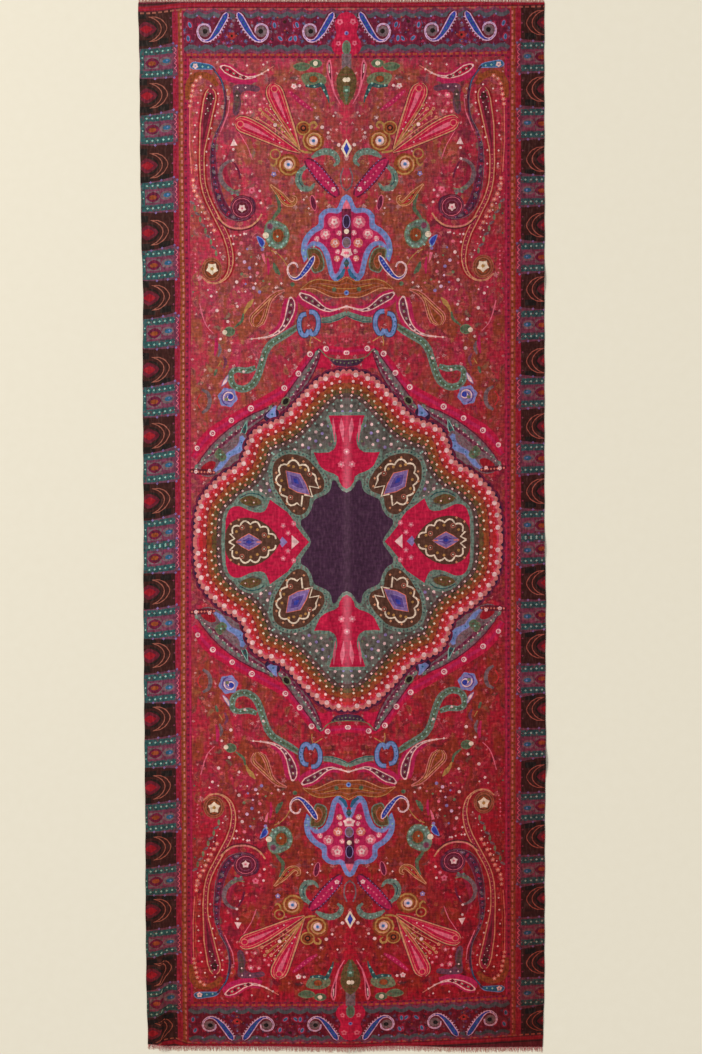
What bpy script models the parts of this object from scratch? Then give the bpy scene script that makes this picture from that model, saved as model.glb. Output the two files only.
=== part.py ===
"""A long paisley scarf laid out flat on its face-up side: one woven panel with selvedge sides, a pressed
crease down its middle and low soft folds, and a short eyelash fringe along each end.

Metres, +Z up, +Y along the scarf. The cloth rests on z = 0 and the origin is under its middle."""

import math
from collections import namedtuple

import bmesh
import bpy

# Driving sizes
CLOTH_LENGTH = 1.808
HALF_WIDTH = 0.353
WALL = 0.001
SEAM_GAP = 0.0003

# The grid that the panel is worked on; its middle columns crowd together over the crease
ROWS = 60
HALF_COLUMNS = 28
CREASE_COLUMNS = 4

# The pressed crease down the middle, at x = 0: a valley between two low shoulders
CREASE_HEIGHT = 0.0018
CREASE_HALF_WIDTH = 0.016

# Fringe: a narrow heading with tapered strands that stand apart
HEADING_WIDTH = 0.002
FRINGE_LENGTH = 0.010
STRANDS = 100
STRAND_WIDTH = 0.0022
STRAND_STEPS = ((0.3, 0.62), (0.7, 0.55))
STRAND_LEAN = 0.0016
STRAND_UNEVEN = 0.16

# How far each long side is drawn in from the widest half-width, at stations along the scarf
Section = namedtuple("Section", "station left right")
SECTIONS = (
    Section(-0.904, 0.0170, 0.0052),
    Section(-0.780, 0.0140, 0.0026),
    Section(-0.650, 0.0128, 0.0022),
    Section(-0.520, 0.0126, 0.0018),
    Section(-0.390, 0.0112, 0.0000),
    Section(-0.260, 0.0100, 0.0009),
    Section(-0.130, 0.0093, 0.0002),
    Section(0.000, 0.0095, 0.0024),
    Section(0.130, 0.0087, 0.0026),
    Section(0.260, 0.0078, 0.0024),
    Section(0.390, 0.0087, 0.0026),
    Section(0.520, 0.0052, 0.0022),
    Section(0.650, 0.0034, 0.0026),
    Section(0.780, 0.0026, 0.0030),
    Section(0.904, 0.0000, 0.0026),
)
EDGE_RIPPLE = 0.0007
EDGE_RIPPLE_LENGTH = 0.115

# How far each end is drawn in from the full length, at places across it from -1 to 1
Hem = namedtuple("Hem", "place top bottom")
HEMS = (
    Hem(-1.00, 0.0012, 0.0052),
    Hem(-0.88, 0.0004, 0.0026),
    Hem(-0.45, 0.0000, 0.0020),
    Hem(-0.02, 0.0004, 0.0000),
    Hem(0.28, 0.0010, 0.0026),
    Hem(0.60, 0.0002, 0.0000),
    Hem(1.00, 0.0010, 0.0008),
)
HEM_REACH = 12

# Soft folds, each a ridge raised off the floor: its middle, its length, its turn from lengthwise in
# degrees (left of +Y is positive), its height and half its width
Fold = namedtuple("Fold", "x y length turn height half_width")
FOLDS = (
    Fold(-0.310, -0.830, 0.230, 0, 0.0030, 0.016),
    Fold(0.235, -0.868, 0.260, 96, 0.0028, 0.020),
    Fold(-0.245, 0.610, 0.230, -3, 0.0032, 0.026),
    Fold(-0.160, 0.625, 0.170, 4, 0.0022, 0.020),
    Fold(0.205, 0.640, 0.250, 6, 0.0036, 0.026),
    Fold(0.120, 0.560, 0.190, -4, 0.0020, 0.020),
    Fold(-0.168, 0.140, 0.150, 5, 0.0022, 0.019),
    Fold(-0.108, 0.125, 0.170, 2, 0.0028, 0.019),
    Fold(-0.055, 0.145, 0.130, 0, 0.0022, 0.018),
    Fold(0.062, 0.135, 0.150, -3, 0.0026, 0.019),
    Fold(0.118, 0.120, 0.130, -5, 0.0020, 0.018),
    Fold(-0.060, -0.165, 0.200, 2, 0.0026, 0.019),
    Fold(0.055, -0.180, 0.230, -2, 0.0030, 0.019),
    Fold(0.108, -0.150, 0.140, -6, 0.0018, 0.018),
    Fold(-0.180, -0.265, 0.190, 4, 0.0026, 0.022),
    Fold(0.135, -0.300, 0.180, -5, 0.0024, 0.020),
    Fold(-0.120, -0.520, 0.240, 7, 0.0022, 0.026),
    Fold(0.170, -0.560, 0.260, -4, 0.0026, 0.028),
    Fold(-0.075, 0.302, 0.290, 86, 0.0020, 0.045),
    Fold(0.150, 0.330, 0.240, 97, 0.0022, 0.045),
    Fold(-0.318, 0.330, 0.090, 80, 0.0020, 0.030),
    Fold(-0.322, -0.080, 0.085, 94, 0.0024, 0.032),
    Fold(-0.318, -0.470, 0.090, 84, 0.0022, 0.030),
    Fold(0.325, 0.420, 0.080, 98, 0.0022, 0.032),
    Fold(0.322, -0.040, 0.090, 88, 0.0020, 0.030),
    Fold(0.326, -0.410, 0.085, 95, 0.0026, 0.034),
)
FOLD_END = 0.4


def smooth(share):
    """0 to 1 with a soft start and finish."""
    share = min(max(share, 0.0), 1.0)
    return share * share * (3.0 - 2.0 * share)


def along_table(rows, key, value, place):
    """The named column's value at a place between a table's rows, joined smoothly."""
    for low, high in zip(rows, rows[1:]):
        if place <= getattr(high, key):
            break
    start = getattr(low, key)
    share = smooth((place - start) / (getattr(high, key) - start))
    return getattr(low, value) + share * (getattr(high, value) - getattr(low, value))


def side_reach(side, station):
    """From the middle line to a long side, with the side's slight ripple."""
    drawn_in = along_table(SECTIONS, "station", "left" if side < 0 else "right", station)
    ripple = math.sin(2 * math.pi * station / EDGE_RIPPLE_LENGTH + side)
    return HALF_WIDTH - drawn_in - EDGE_RIPPLE * ripple * ripple


def hem_y(end, place):
    """The y of an end's hem (end is 1 at the top, -1 at the bottom) at a place across it."""
    return end * (CLOTH_LENGTH / 2 - along_table(HEMS, "place", "top" if end > 0 else "bottom", place))


def fold_lift(fold, x, y):
    """How far one fold raises the cloth at a point: round across, fading out at both ends."""
    turn = math.radians(fold.turn)
    dx = x - fold.x
    dy = y - fold.y
    along = -math.sin(turn) * dx + math.cos(turn) * dy
    aside = math.cos(turn) * dx + math.sin(turn) * dy
    if abs(aside) >= fold.half_width or abs(along) >= fold.length / 2:
        return 0.0
    end_fade = smooth((1.0 - abs(along) * 2 / fold.length) / FOLD_END)
    return fold.height * end_fade * math.cos(math.pi / 2 * aside / fold.half_width) ** 2


def crease_lift(x):
    """The pressed crease: nothing at x = 0, a soft shoulder to each side."""
    if abs(x) >= CREASE_HALF_WIDTH:
        return 0.0
    return CREASE_HEIGHT * math.sin(math.pi * x / CREASE_HALF_WIDTH) ** 2


def lift(x, y):
    """How far the cloth's underside stands off the floor."""
    return crease_lift(x) + max(fold_lift(fold, x, y) for fold in FOLDS)


def across(u, reach):
    """The x of the grid's column u (-1 to 1), where a long side lies at reach."""
    crowded = CREASE_COLUMNS / HALF_COLUMNS
    if abs(u) <= crowded:
        return u / crowded * CREASE_HALF_WIDTH
    beyond = (abs(u) - crowded) / (1.0 - crowded)
    return math.copysign(CREASE_HALF_WIDTH + beyond * (reach - CREASE_HALF_WIDTH), u)


def cloth_point(u, v):
    """The panel's underside at column u and row v, both from -1 to 1."""
    x = across(u, side_reach(math.copysign(1, u), v * CLOTH_LENGTH / 2))
    straight = v * CLOTH_LENGTH / 2
    end = math.copysign(1, v)
    y = straight + (hem_y(end, x / HALF_WIDTH) - end * CLOTH_LENGTH / 2) * abs(v) ** HEM_REACH
    return x, y, lift(x, y)


def material(name, colour, roughness):
    made = bpy.data.materials.new(name)
    made.use_nodes = True
    shader = made.node_tree.nodes["Principled BSDF"]
    shader.inputs["Base Color"].default_value = (*colour, 1.0)
    shader.inputs["Roughness"].default_value = roughness
    shader.inputs["Metallic"].default_value = 0.0
    return made


def finish(name, work, dye):
    """Turns finished mesh work into a named, smooth-shaded object."""
    bmesh.ops.recalc_face_normals(work, faces=work.faces)
    mesh = bpy.data.meshes.new(name)
    work.to_mesh(mesh)
    work.free()
    mesh.materials.append(dye)
    mesh.shade_smooth()
    mesh.set_sharp_from_angle(angle=math.radians(40))
    made = bpy.data.objects.new(name, mesh)
    bpy.context.scene.collection.objects.link(made)
    return made


def thicken(work):
    """Raises a copy of an open sheet by the wall and closes the sides between them."""
    raised = bmesh.ops.extrude_face_region(work, geom=work.faces[:])["geom"]
    points = [item for item in raised if isinstance(item, bmesh.types.BMVert)]
    bmesh.ops.translate(work, verts=points, vec=(0.0, 0.0, WALL))


def woven_panel(dye):
    """The one piece of cloth, cut across its ends and woven with selvedges down its sides."""
    work = bmesh.new()
    bmesh.ops.create_grid(work, x_segments=2 * HALF_COLUMNS, y_segments=ROWS, size=1.0)
    for point in work.verts:
        point.co = cloth_point(point.co.x, point.co.y)
    thicken(work)
    return finish("scarf_cloth", work, dye)


def heading_stations(end):
    """Places along the heading where each strand starts and stops, with the two corners."""
    y = end * CLOTH_LENGTH / 2
    left = -side_reach(-1, y)
    right = side_reach(1, y)
    pitch = (right - left) / STRANDS
    stations = [left]
    for strand in range(STRANDS):
        middle = left + (strand + 0.5) * pitch
        stations += [middle - STRAND_WIDTH / 2, middle + STRAND_WIDTH / 2]
    return [*stations, right]


def fringe(name, end, dye):
    """One end's fringe: the heading parted from the hem, and strands drawn out of its outer edge."""
    stations = heading_stations(end)
    work = bmesh.new()
    bmesh.ops.create_grid(work, x_segments=len(stations) - 1, y_segments=1, size=1.0)
    for point in work.verts:
        column = round((point.co.x + 1.0) / 2 * (len(stations) - 1))
        outer = point.co.y * end > 0
        x = stations[column]
        y = hem_y(end, x / HALF_WIDTH) + end * (SEAM_GAP + (HEADING_WIDTH if outer else 0.0))
        point.co = (x, y, lift(x, hem_y(end, x / HALF_WIDTH)))
    thicken(work)
    bmesh.ops.recalc_face_normals(work, faces=work.faces)
    roots = sorted(
        (face for face in work.faces if face.normal.y * end > 0.5),
        key=lambda face: face.calc_center_median().x,
    )
    for number, root in enumerate(roots[1::2]):
        draw_strand(work, root, end, number)
    return finish(name, work, dye)


def draw_strand(work, root, end, number):
    """Draws one strand out of its root face: a short neck, then a thin tip that leans a little."""
    reach = FRINGE_LENGTH - HEADING_WIDTH - SEAM_GAP
    reach *= end * (1.0 - STRAND_UNEVEN * math.sin(number * 2.4) ** 2)
    lean = STRAND_LEAN * math.sin(number * 1.7 + end)
    raised = min(point.co.z for point in root.verts)
    for share, scale in STRAND_STEPS:
        root = pull(work, root, scale, (lean * share, reach * share, -raised * share))


def pull(work, face, scale, move):
    """Pulls a face out by move and scales it about its middle."""
    pulled = bmesh.ops.extrude_discrete_faces(work, faces=[face])["faces"][0]
    middle = pulled.calc_center_median()
    for point in pulled.verts:
        point.co = middle + (point.co - middle) * scale
    bmesh.ops.translate(work, verts=pulled.verts[:], vec=move)
    return pulled


for old in list(bpy.data.objects):
    bpy.data.objects.remove(old, do_unlink=True)

woven_panel(material("crimson paisley cloth", (0.36, 0.02, 0.045), 0.85))
undyed = material("pink-tan fringe", (0.62, 0.36, 0.28), 0.9)
fringe("fringe_top", 1, undyed)
fringe("fringe_bottom", -1, undyed)
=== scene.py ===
"""Paisley scarf laid out flat: one printed woven cloth and an eyelash fringe at each end."""

import math
from collections import namedtuple

import bpy
import numpy as np
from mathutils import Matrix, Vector
from mathutils.geometry import delaunay_2d_cdt


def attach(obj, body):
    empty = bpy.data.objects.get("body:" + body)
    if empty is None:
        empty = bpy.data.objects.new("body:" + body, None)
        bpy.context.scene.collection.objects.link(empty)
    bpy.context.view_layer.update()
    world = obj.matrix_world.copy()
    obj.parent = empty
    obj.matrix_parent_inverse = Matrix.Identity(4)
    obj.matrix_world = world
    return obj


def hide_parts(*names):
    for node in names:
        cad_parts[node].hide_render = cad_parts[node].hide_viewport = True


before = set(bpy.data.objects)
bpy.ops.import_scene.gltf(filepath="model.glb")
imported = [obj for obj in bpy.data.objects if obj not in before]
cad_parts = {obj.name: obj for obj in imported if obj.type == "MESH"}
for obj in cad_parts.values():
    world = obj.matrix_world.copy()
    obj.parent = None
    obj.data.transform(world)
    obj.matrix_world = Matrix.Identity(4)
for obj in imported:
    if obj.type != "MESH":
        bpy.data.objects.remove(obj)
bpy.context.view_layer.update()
scene = bpy.context.scene

# The stage: a sheet of plain pale paper, matt and faintly grainy, with the camera straight above it and soft
# daylight from the upper left. The picture is 702 by 1054 and takes in 1.215 by 1.823 m of the paper.
PICTURE = (702, 1054)
FLOOR_IN_PICTURE = 1.8234
CAMERA_OVER = (0.0156, -0.0043)
LENS = 85.0
SENSOR = 36.0
FLOOR_HALF = 3.0
PAPER_LIGHT = (236, 230, 214)
PAPER_DARK = (229, 222, 204)
PAPER_GRAIN = 60.0
ROOM_COLOUR = (250, 249, 246)
ROOM_LIGHT = 0.50
DAYLIGHT_COLOUR = (255, 251, 244)
DAYLIGHT_STRENGTH = 2.25
DAYLIGHT_WIDTH = 16
DAYLIGHT_FROM = (-2.6, 1.7, 2.1)
WINDOW_COLOUR = (255, 250, 240)
WINDOW_WATTS = 22.0
WINDOW_SIZE = 1.6
WINDOW_AT = (-2.4, 1.4, 1.8)


def linear(red, green, blue, alpha=1.0):
    """A colour given as 0 to 255 as the eye reads it, in the linear values that shaders mix."""
    mixed = [((c / 255 + 0.055) / 1.055) ** 2.4 if c > 10 else c / 255 / 12.92 for c in (red, green, blue)]
    return (*mixed, alpha)


class Wire:
    """A node's output that can be written in sums: each operator adds its Math node."""

    def __init__(self, tree, socket):
        self.tree = tree
        self.socket = socket

    def maths(self, operation, *others):
        """Any operation of the Math node, with this as its first value."""
        return self.tree.node("ShaderNodeMath", {"operation": operation}, (self, *others))

    def __add__(self, other):
        return self.maths("ADD", other)

    __radd__ = __add__

    def __mul__(self, other):
        return self.maths("MULTIPLY", other)

    __rmul__ = __mul__

    def __sub__(self, other):
        return self.maths("SUBTRACT", other)

    def __rsub__(self, other):
        return self.tree.node("ShaderNodeMath", {"operation": "SUBTRACT"}, (other, self))

    def __truediv__(self, other):
        return self.maths("DIVIDE", other)

    def __rtruediv__(self, other):
        return self.tree.node("ShaderNodeMath", {"operation": "DIVIDE"}, (other, self))

    def clamped(self):
        """Kept between 0 and 1."""
        return self.tree.node("ShaderNodeMath", {"operation": "ADD", "use_clamp": True}, (self, 0.0))

    def over(self, start, end):
        """0 at the start value and 1 at the end value, and no further."""
        return ((self - start) / (end - start)).clamped()

    def within(self, start, end):
        """1 up to the start value, fading to 0 at the end value."""
        return 1.0 - self.over(start, end)

    def output(self, name):
        """Another output of the same node."""
        return Wire(self.tree, self.socket.node.outputs[name])


class Tree:
    """A node tree, with the one method that every node of it comes from."""

    def __init__(self, tree):
        self.tree = tree

    def node(self, kind, settings=None, values=(), out=0):
        """Adds a node: its settings first, then each input's number, colour or link, by order or by name."""
        made = self.tree.nodes.new(kind)
        for name, value in (settings or {}).items():
            if name == "stops":
                ramp = made.color_ramp
                ramp.interpolation = "CONSTANT"
                for count, (place, colour) in enumerate(value):
                    stop = ramp.elements[count] if count < 2 else ramp.elements.new(place)
                    stop.position = place
                    stop.color = colour
            else:
                setattr(made, name, value)
        for key, value in values.items() if isinstance(values, dict) else enumerate(values):
            if isinstance(value, Wire):
                self.tree.links.new(value.socket, made.inputs[key])
            elif value is not None:
                made.inputs[key].default_value = value
        return Wire(self, made.outputs[out]) if made.outputs else None

    def vector_maths(self, operation, *values, out=0):
        """Any operation of the Vector Math node."""
        return self.node("ShaderNodeVectorMath", {"operation": operation}, values, out)

    def blend(self, share, first, second, mode="MIX"):
        """Mixes two colours by a share."""
        settings = {"data_type": "RGBA", "blend_type": mode}
        return self.node("ShaderNodeMix", settings, {0: share, 6: first, 7: second}, out=2)

    def noise(self, where, scale, detail):
        """Soft noise, 0 to 1, at a place."""
        return self.node("ShaderNodeTexNoise", {}, {"Vector": where, "Scale": scale, "Detail": detail})

    def stretched(self, where, scale):
        """A place pulled out along its axes."""
        return self.node("ShaderNodeMapping", {}, {"Vector": where, "Scale": scale})

    def relief(self, strength, depth, height):
        """A normal that follows a height, in metres of depth."""
        return self.node("ShaderNodeBump", {}, {"Strength": strength, "Distance": depth, "Height": height})


def new_material(name, surface, roughness, **fixed):
    """A Principled material. surface gives the wires for Base Color and Normal."""
    made = bpy.data.materials.new(name)
    made.use_nodes = True
    shader = made.node_tree.nodes["Principled BSDF"]
    shader.inputs["Roughness"].default_value = roughness
    for socket, value in fixed.items():
        shader.inputs[socket.replace("_", " ")].default_value = value
    for socket, wire in surface(Tree(made.node_tree)).items():
        made.node_tree.links.new(wire.socket, shader.inputs[socket])
    return made


def paper(tree):
    """Matt paper with a faint grain."""
    where = tree.node("ShaderNodeTexCoord", out="Object")
    grain = tree.noise(where, PAPER_GRAIN, 3.0)
    tone = tree.blend(grain * 0.5, linear(*PAPER_LIGHT), linear(*PAPER_DARK))
    return {"Base Color": tone, "Normal": tree.relief(0.1, 0.0005, grain)}


floor_mesh = bpy.data.meshes.new("paper_floor")
floor_corners = [(x * FLOOR_HALF, y * FLOOR_HALF, 0.0) for x, y in ((-1, -1), (1, -1), (1, 1), (-1, 1))]
floor_mesh.from_pydata(floor_corners, [], [(0, 1, 2, 3)])
floor_mesh.materials.append(new_material("pale paper", paper, 0.9, Specular_IOR_Level=0.2))
paper_floor = bpy.data.objects.new("paper_floor", floor_mesh)
scene.collection.objects.link(paper_floor)

world = bpy.data.worlds.new("studio")
scene.world = world
world.use_nodes = True
world.node_tree.nodes["Background"].inputs["Color"].default_value = linear(*ROOM_COLOUR)
world.node_tree.nodes["Background"].inputs["Strength"].default_value = ROOM_LIGHT
scene.view_settings.view_transform = "Standard"

daylight = bpy.data.lights.new("daylight", "SUN")
daylight.energy = DAYLIGHT_STRENGTH
daylight.angle = math.radians(DAYLIGHT_WIDTH)
daylight.color = linear(*DAYLIGHT_COLOUR)[:3]
window = bpy.data.lights.new("window", "AREA")
window.size = WINDOW_SIZE
window.energy = WINDOW_WATTS
window.color = linear(*WINDOW_COLOUR)[:3]
for light, place in ((daylight, DAYLIGHT_FROM), (window, WINDOW_AT)):
    shining = bpy.data.objects.new(light.name, light)
    shining.location = place
    shining.rotation_euler = (-Vector(place)).to_track_quat("-Z", "Y").to_euler()
    scene.collection.objects.link(shining)

camera_data = bpy.data.cameras.new("camera")
camera_data.lens = LENS
camera_data.sensor_width = SENSOR * PICTURE[0] / PICTURE[1]
camera_data.sensor_height = SENSOR
camera_data.sensor_fit = "VERTICAL"
camera = bpy.data.objects.new("camera", camera_data)
camera.location = (*CAMERA_OVER, FLOOR_IN_PICTURE * LENS / SENSOR)
scene.collection.objects.link(camera)
scene.camera = camera

# The scarf's cloth: one panel of light wool and silk in plain weave, cut across its ends and left with its
# selvedges down its sides, then printed on its face. It lies on the paper, held by nothing. Its form comes
# first: the outline, the pressed crease down the middle and the soft folds.
CLOTH_LENGTH = 1.808
HALF_WIDTH = 0.353
CREASE_HEIGHT = 0.0026
CREASE_FOOT = -0.0065
CREASE_RISE = 0.019
CREASE_TOP = 0.0125
CREASE_FALL = 0.040
EDGE_RIPPLE = 0.0007
EDGE_RIPPLE_LENGTH = 0.115
FACE_HEIGHT = 0.0009
BACK_HEIGHT = 0.0001
FOLD_END = 0.4
CRINKLE_WANDER = (0.15, 0.2)
CRINKLE_UNEVEN = 0.35
Section = namedtuple("Section", "station left right")
SECTIONS = (
    Section(-0.904, 0.0170, 0.0052),
    Section(-0.780, 0.0140, 0.0026),
    Section(-0.650, 0.0128, 0.0022),
    Section(-0.520, 0.0126, 0.0018),
    Section(-0.390, 0.0112, 0.0000),
    Section(-0.260, 0.0100, 0.0009),
    Section(-0.130, 0.0093, 0.0002),
    Section(0.000, 0.0095, 0.0024),
    Section(0.130, 0.0087, 0.0026),
    Section(0.260, 0.0078, 0.0024),
    Section(0.390, 0.0087, 0.0026),
    Section(0.520, 0.0052, 0.0022),
    Section(0.650, 0.0034, 0.0026),
    Section(0.780, 0.0026, 0.0030),
    Section(0.904, 0.0000, 0.0026),
)
Hem = namedtuple("Hem", "place top bottom")
HEMS = (
    Hem(-1.00, 0.0012, 0.0052),
    Hem(-0.88, 0.0004, 0.0026),
    Hem(-0.45, 0.0000, 0.0020),
    Hem(-0.02, 0.0004, 0.0000),
    Hem(0.28, 0.0010, 0.0026),
    Hem(0.60, 0.0002, 0.0000),
    Hem(1.00, 0.0010, 0.0008),
)
Fold = namedtuple("Fold", "x y length turn height half_width")
FOLDS = (
    Fold(-0.310, -0.830, 0.230, 0, 0.0030, 0.016),
    Fold(0.235, -0.868, 0.260, 96, 0.0028, 0.020),
    Fold(-0.245, 0.610, 0.230, -3, 0.0032, 0.026),
    Fold(-0.160, 0.625, 0.170, 4, 0.0022, 0.020),
    Fold(0.205, 0.640, 0.250, 6, 0.0036, 0.026),
    Fold(0.120, 0.560, 0.190, -4, 0.0020, 0.020),
    Fold(-0.168, 0.140, 0.150, 5, 0.0022, 0.019),
    Fold(-0.108, 0.125, 0.190, 2, 0.0036, 0.018),
    Fold(-0.055, 0.145, 0.130, 0, 0.0022, 0.018),
    Fold(0.062, 0.135, 0.170, -3, 0.0034, 0.018),
    Fold(0.118, 0.120, 0.130, -5, 0.0020, 0.018),
    Fold(-0.022, -0.215, 0.230, 1, 0.0032, 0.016),
    Fold(-0.055, -0.115, 0.100, 0, 0.0028, 0.016),
    Fold(0.068, -0.180, 0.260, -2, 0.0036, 0.018),
    Fold(0.108, -0.150, 0.140, -6, 0.0018, 0.018),
    Fold(-0.180, -0.265, 0.190, 4, 0.0026, 0.022),
    Fold(0.135, -0.300, 0.180, -5, 0.0024, 0.020),
    Fold(-0.120, -0.520, 0.240, 7, 0.0022, 0.026),
    Fold(0.170, -0.560, 0.260, -4, 0.0026, 0.028),
    Fold(-0.075, 0.302, 0.290, 86, 0.0020, 0.045),
    Fold(0.150, 0.330, 0.240, 97, 0.0022, 0.045),
    Fold(-0.318, 0.330, 0.090, 80, 0.0020, 0.030),
    Fold(-0.322, -0.080, 0.085, 94, 0.0024, 0.032),
    Fold(-0.318, -0.470, 0.090, 84, 0.0022, 0.030),
    Fold(0.325, 0.420, 0.080, 98, 0.0022, 0.032),
    Fold(0.322, -0.040, 0.090, 88, 0.0020, 0.030),
    Fold(0.326, -0.410, 0.085, 95, 0.0026, 0.034),
)

# Crinkles too fine for the folds above: patches of short lengthwise ripples that the cloth keeps from being
# packed, and two sharp tucks at its lower corners.
Crinkle = namedtuple("Crinkle", "x y half_x half_y spacing height")
CRINKLES = (
    Crinkle(-0.12, 0.14, 0.10, 0.09, 0.0155, 0.0007),
    Crinkle(0.10, 0.14, 0.10, 0.09, 0.0165, 0.0006),
    Crinkle(0.00, -0.16, 0.16, 0.12, 0.0160, 0.0008),
    Crinkle(-0.17, 0.62, 0.14, 0.10, 0.0170, 0.0006),
    Crinkle(0.17, 0.60, 0.12, 0.12, 0.0180, 0.0007),
    Crinkle(-0.15, -0.34, 0.10, 0.10, 0.0150, 0.0006),
    Crinkle(0.15, -0.38, 0.12, 0.12, 0.0160, 0.0006),
    Crinkle(0.00, -0.62, 0.20, 0.14, 0.0190, 0.0005),
    Crinkle(0.02, 0.40, 0.20, 0.10, 0.0180, 0.0005),
)
TUCKS = (
    Fold(-0.312, -0.830, 0.210, 0, 0.0014, 0.0045),
    Fold(0.230, -0.876, 0.200, 96, 0.0010, 0.0060),
)


def smooth(share):
    """0 to 1 with a soft start and finish."""
    share = np.clip(share, 0.0, 1.0)
    return share * share * (3.0 - 2.0 * share)


def along_table(rows, key, value, place):
    """The named column's values at places between a table's rows, joined smoothly."""
    keys = np.array([getattr(row, key) for row in rows])
    values = np.array([getattr(row, value) for row in rows])
    low = np.clip(np.searchsorted(keys, place) - 1, 0, len(rows) - 2)
    share = smooth((place - keys[low]) / (keys[low + 1] - keys[low]))
    return values[low] + share * (values[low + 1] - values[low])


def side_reach(side, station):
    """From the middle line to a long side, with the side's slight ripple."""
    drawn_in = along_table(SECTIONS, "station", "left" if side < 0 else "right", station)
    ripple = np.sin(2 * math.pi * station / EDGE_RIPPLE_LENGTH + side)
    return HALF_WIDTH - drawn_in - EDGE_RIPPLE * ripple * ripple


def hem_y(end, place):
    """The y of an end's hem (end is 1 at the top, -1 at the bottom) at places across it."""
    return end * (CLOTH_LENGTH / 2 - along_table(HEMS, "place", "top" if end > 0 else "bottom", place))


def fold_lift(fold, x, y):
    """How far one fold raises the cloth: round across, fading out at both ends."""
    turn = math.radians(fold.turn)
    along = -math.sin(turn) * (x - fold.x) + math.cos(turn) * (y - fold.y)
    aside = math.cos(turn) * (x - fold.x) + math.sin(turn) * (y - fold.y)
    end_fade = smooth((1.0 - np.abs(along) * 2 / fold.length) / FOLD_END)
    across = np.cos(math.pi / 2 * np.clip(aside / fold.half_width, -1, 1)) ** 2
    return fold.height * end_fade * across


def crinkle_lift(crinkle, x, y):
    """Short ripples, fading out round their patch, none quite straight or even."""
    across = (x - crinkle.x) / crinkle.half_x
    along = (y - crinkle.y) / crinkle.half_y
    fade = smooth(1.0 - np.sqrt(across**2 + along**2))
    wander = CRINKLE_WANDER[0] * np.sin(9 * along + 5 * across) + CRINKLE_WANDER[1] * np.sin(3.1 * across)
    wave = np.sin(2 * math.pi * ((x - crinkle.x) / crinkle.spacing + wander))
    uneven = np.sin(2.7 * (x - crinkle.x) / crinkle.spacing + 4 * along)
    height = crinkle.height * (1 - CRINKLE_UNEVEN + CRINKLE_UNEVEN * uneven)
    return height * fade * (0.5 + 0.5 * wave)


def lift(x, y):
    """How far the cloth stands off the floor."""
    crease = CREASE_HEIGHT * smooth((x - CREASE_FOOT) / CREASE_RISE) * (
        1 - smooth((x - CREASE_TOP) / CREASE_FALL)
    )
    folds = np.max([fold_lift(fold, x, y) for fold in FOLDS], axis=0)
    fine = np.sum([crinkle_lift(crinkle, x, y) for crinkle in CRINKLES], axis=0)
    tucks = np.max([fold_lift(tuck, x, y) for tuck in TUCKS], axis=0)
    return crease + folds + fine + tucks


# The print's design is charted on squares of 1.73 mm: columns from the left, rows from the top end. It is
# drawn once, for the upper left quarter, and printed four times, mirrored. The lower half is a little drawn
# up, and the weft it is printed along sags at the left border and rises to the right.
SQUARE = 0.00173
MID, LEVEL = 346.5, 542.0
CHART_MIDDLE = (MID, LEVEL)
MIDDLE_ON_CLOTH = (0.0078, -0.0303)
LOWER_DRAWN_UP = 0.0425
LOWER_REACH = 0.848
LOW_BAND_FROM = 0.868
LOW_BAND_DRAWN_UP = 0.10
LOWER_LEAN = 0.0068
LEAN_RUN = 0.8
LEAN_REACH = 0.29
LEFT_REACH = 0.3608
LEFT_DRAWN_IN = 0.7
LEFT_SAG = 0.0069
SAG_FROM, SAG_RUN = -0.263, 0.078
MORE_SAG = 0.0026
MORE_SAG_AT, MORE_SAG_REACH = 0.08, 0.22
RIGHT_RISE = 0.0078
RISE_FROM, RISE_RUN = -0.021, 0.346
RISE_MOST, RISE_BEND = 1.2, 1.6
LOWER_RISE = 0.0069
LOWER_RISE_FROM, LOWER_RISE_RUN = -0.061, 0.69
UPPER_LOSS = 0.0032
UPPER_LOSS_FROM, UPPER_LOSS_RUN = 0.42, 0.2
CORNER_TUCK = 0.010
TUCK_BELOW, TUCK_FADE = -0.70, 0.08
TUCK_FOLD, TUCK_FOLD_RUN = -0.314, 0.006
TUCK_END, TUCK_END_RUN = -0.292, 0.03
CLOSING_IN = 8


def weft_shift(x, y):
    """How far the weft lines run off level: down at the left border, up towards the right."""
    sag = LEFT_SAG + MORE_SAG * np.exp(-(((y - MORE_SAG_AT) / MORE_SAG_REACH) ** 2))
    lower_rise = LOWER_RISE * smooth((LOWER_RISE_FROM - y) / LOWER_RISE_RUN)
    upper_loss = UPPER_LOSS * smooth((y - UPPER_LOSS_FROM) / UPPER_LOSS_RUN)
    rise = RIGHT_RISE + lower_rise - upper_loss
    across = np.clip((x - RISE_FROM) / RISE_RUN, 0.0, RISE_MOST) ** RISE_BEND
    folded = smooth((x - TUCK_FOLD) / TUCK_FOLD_RUN) - smooth((x - TUCK_END) / TUCK_END_RUN)
    tuck = CORNER_TUCK * smooth((TUCK_BELOW - y) / TUCK_FADE) * folded
    return rise * across - sag * smooth((SAG_FROM - x) / SAG_RUN) + tuck


def left_scale(y):
    """How much narrower the left half is printed where that side is drawn in."""
    return 1.0 - LEFT_DRAWN_IN * (1.0 - (MIDDLE_ON_CLOTH[0] + side_reach(-1, y)) / LEFT_REACH)


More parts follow.
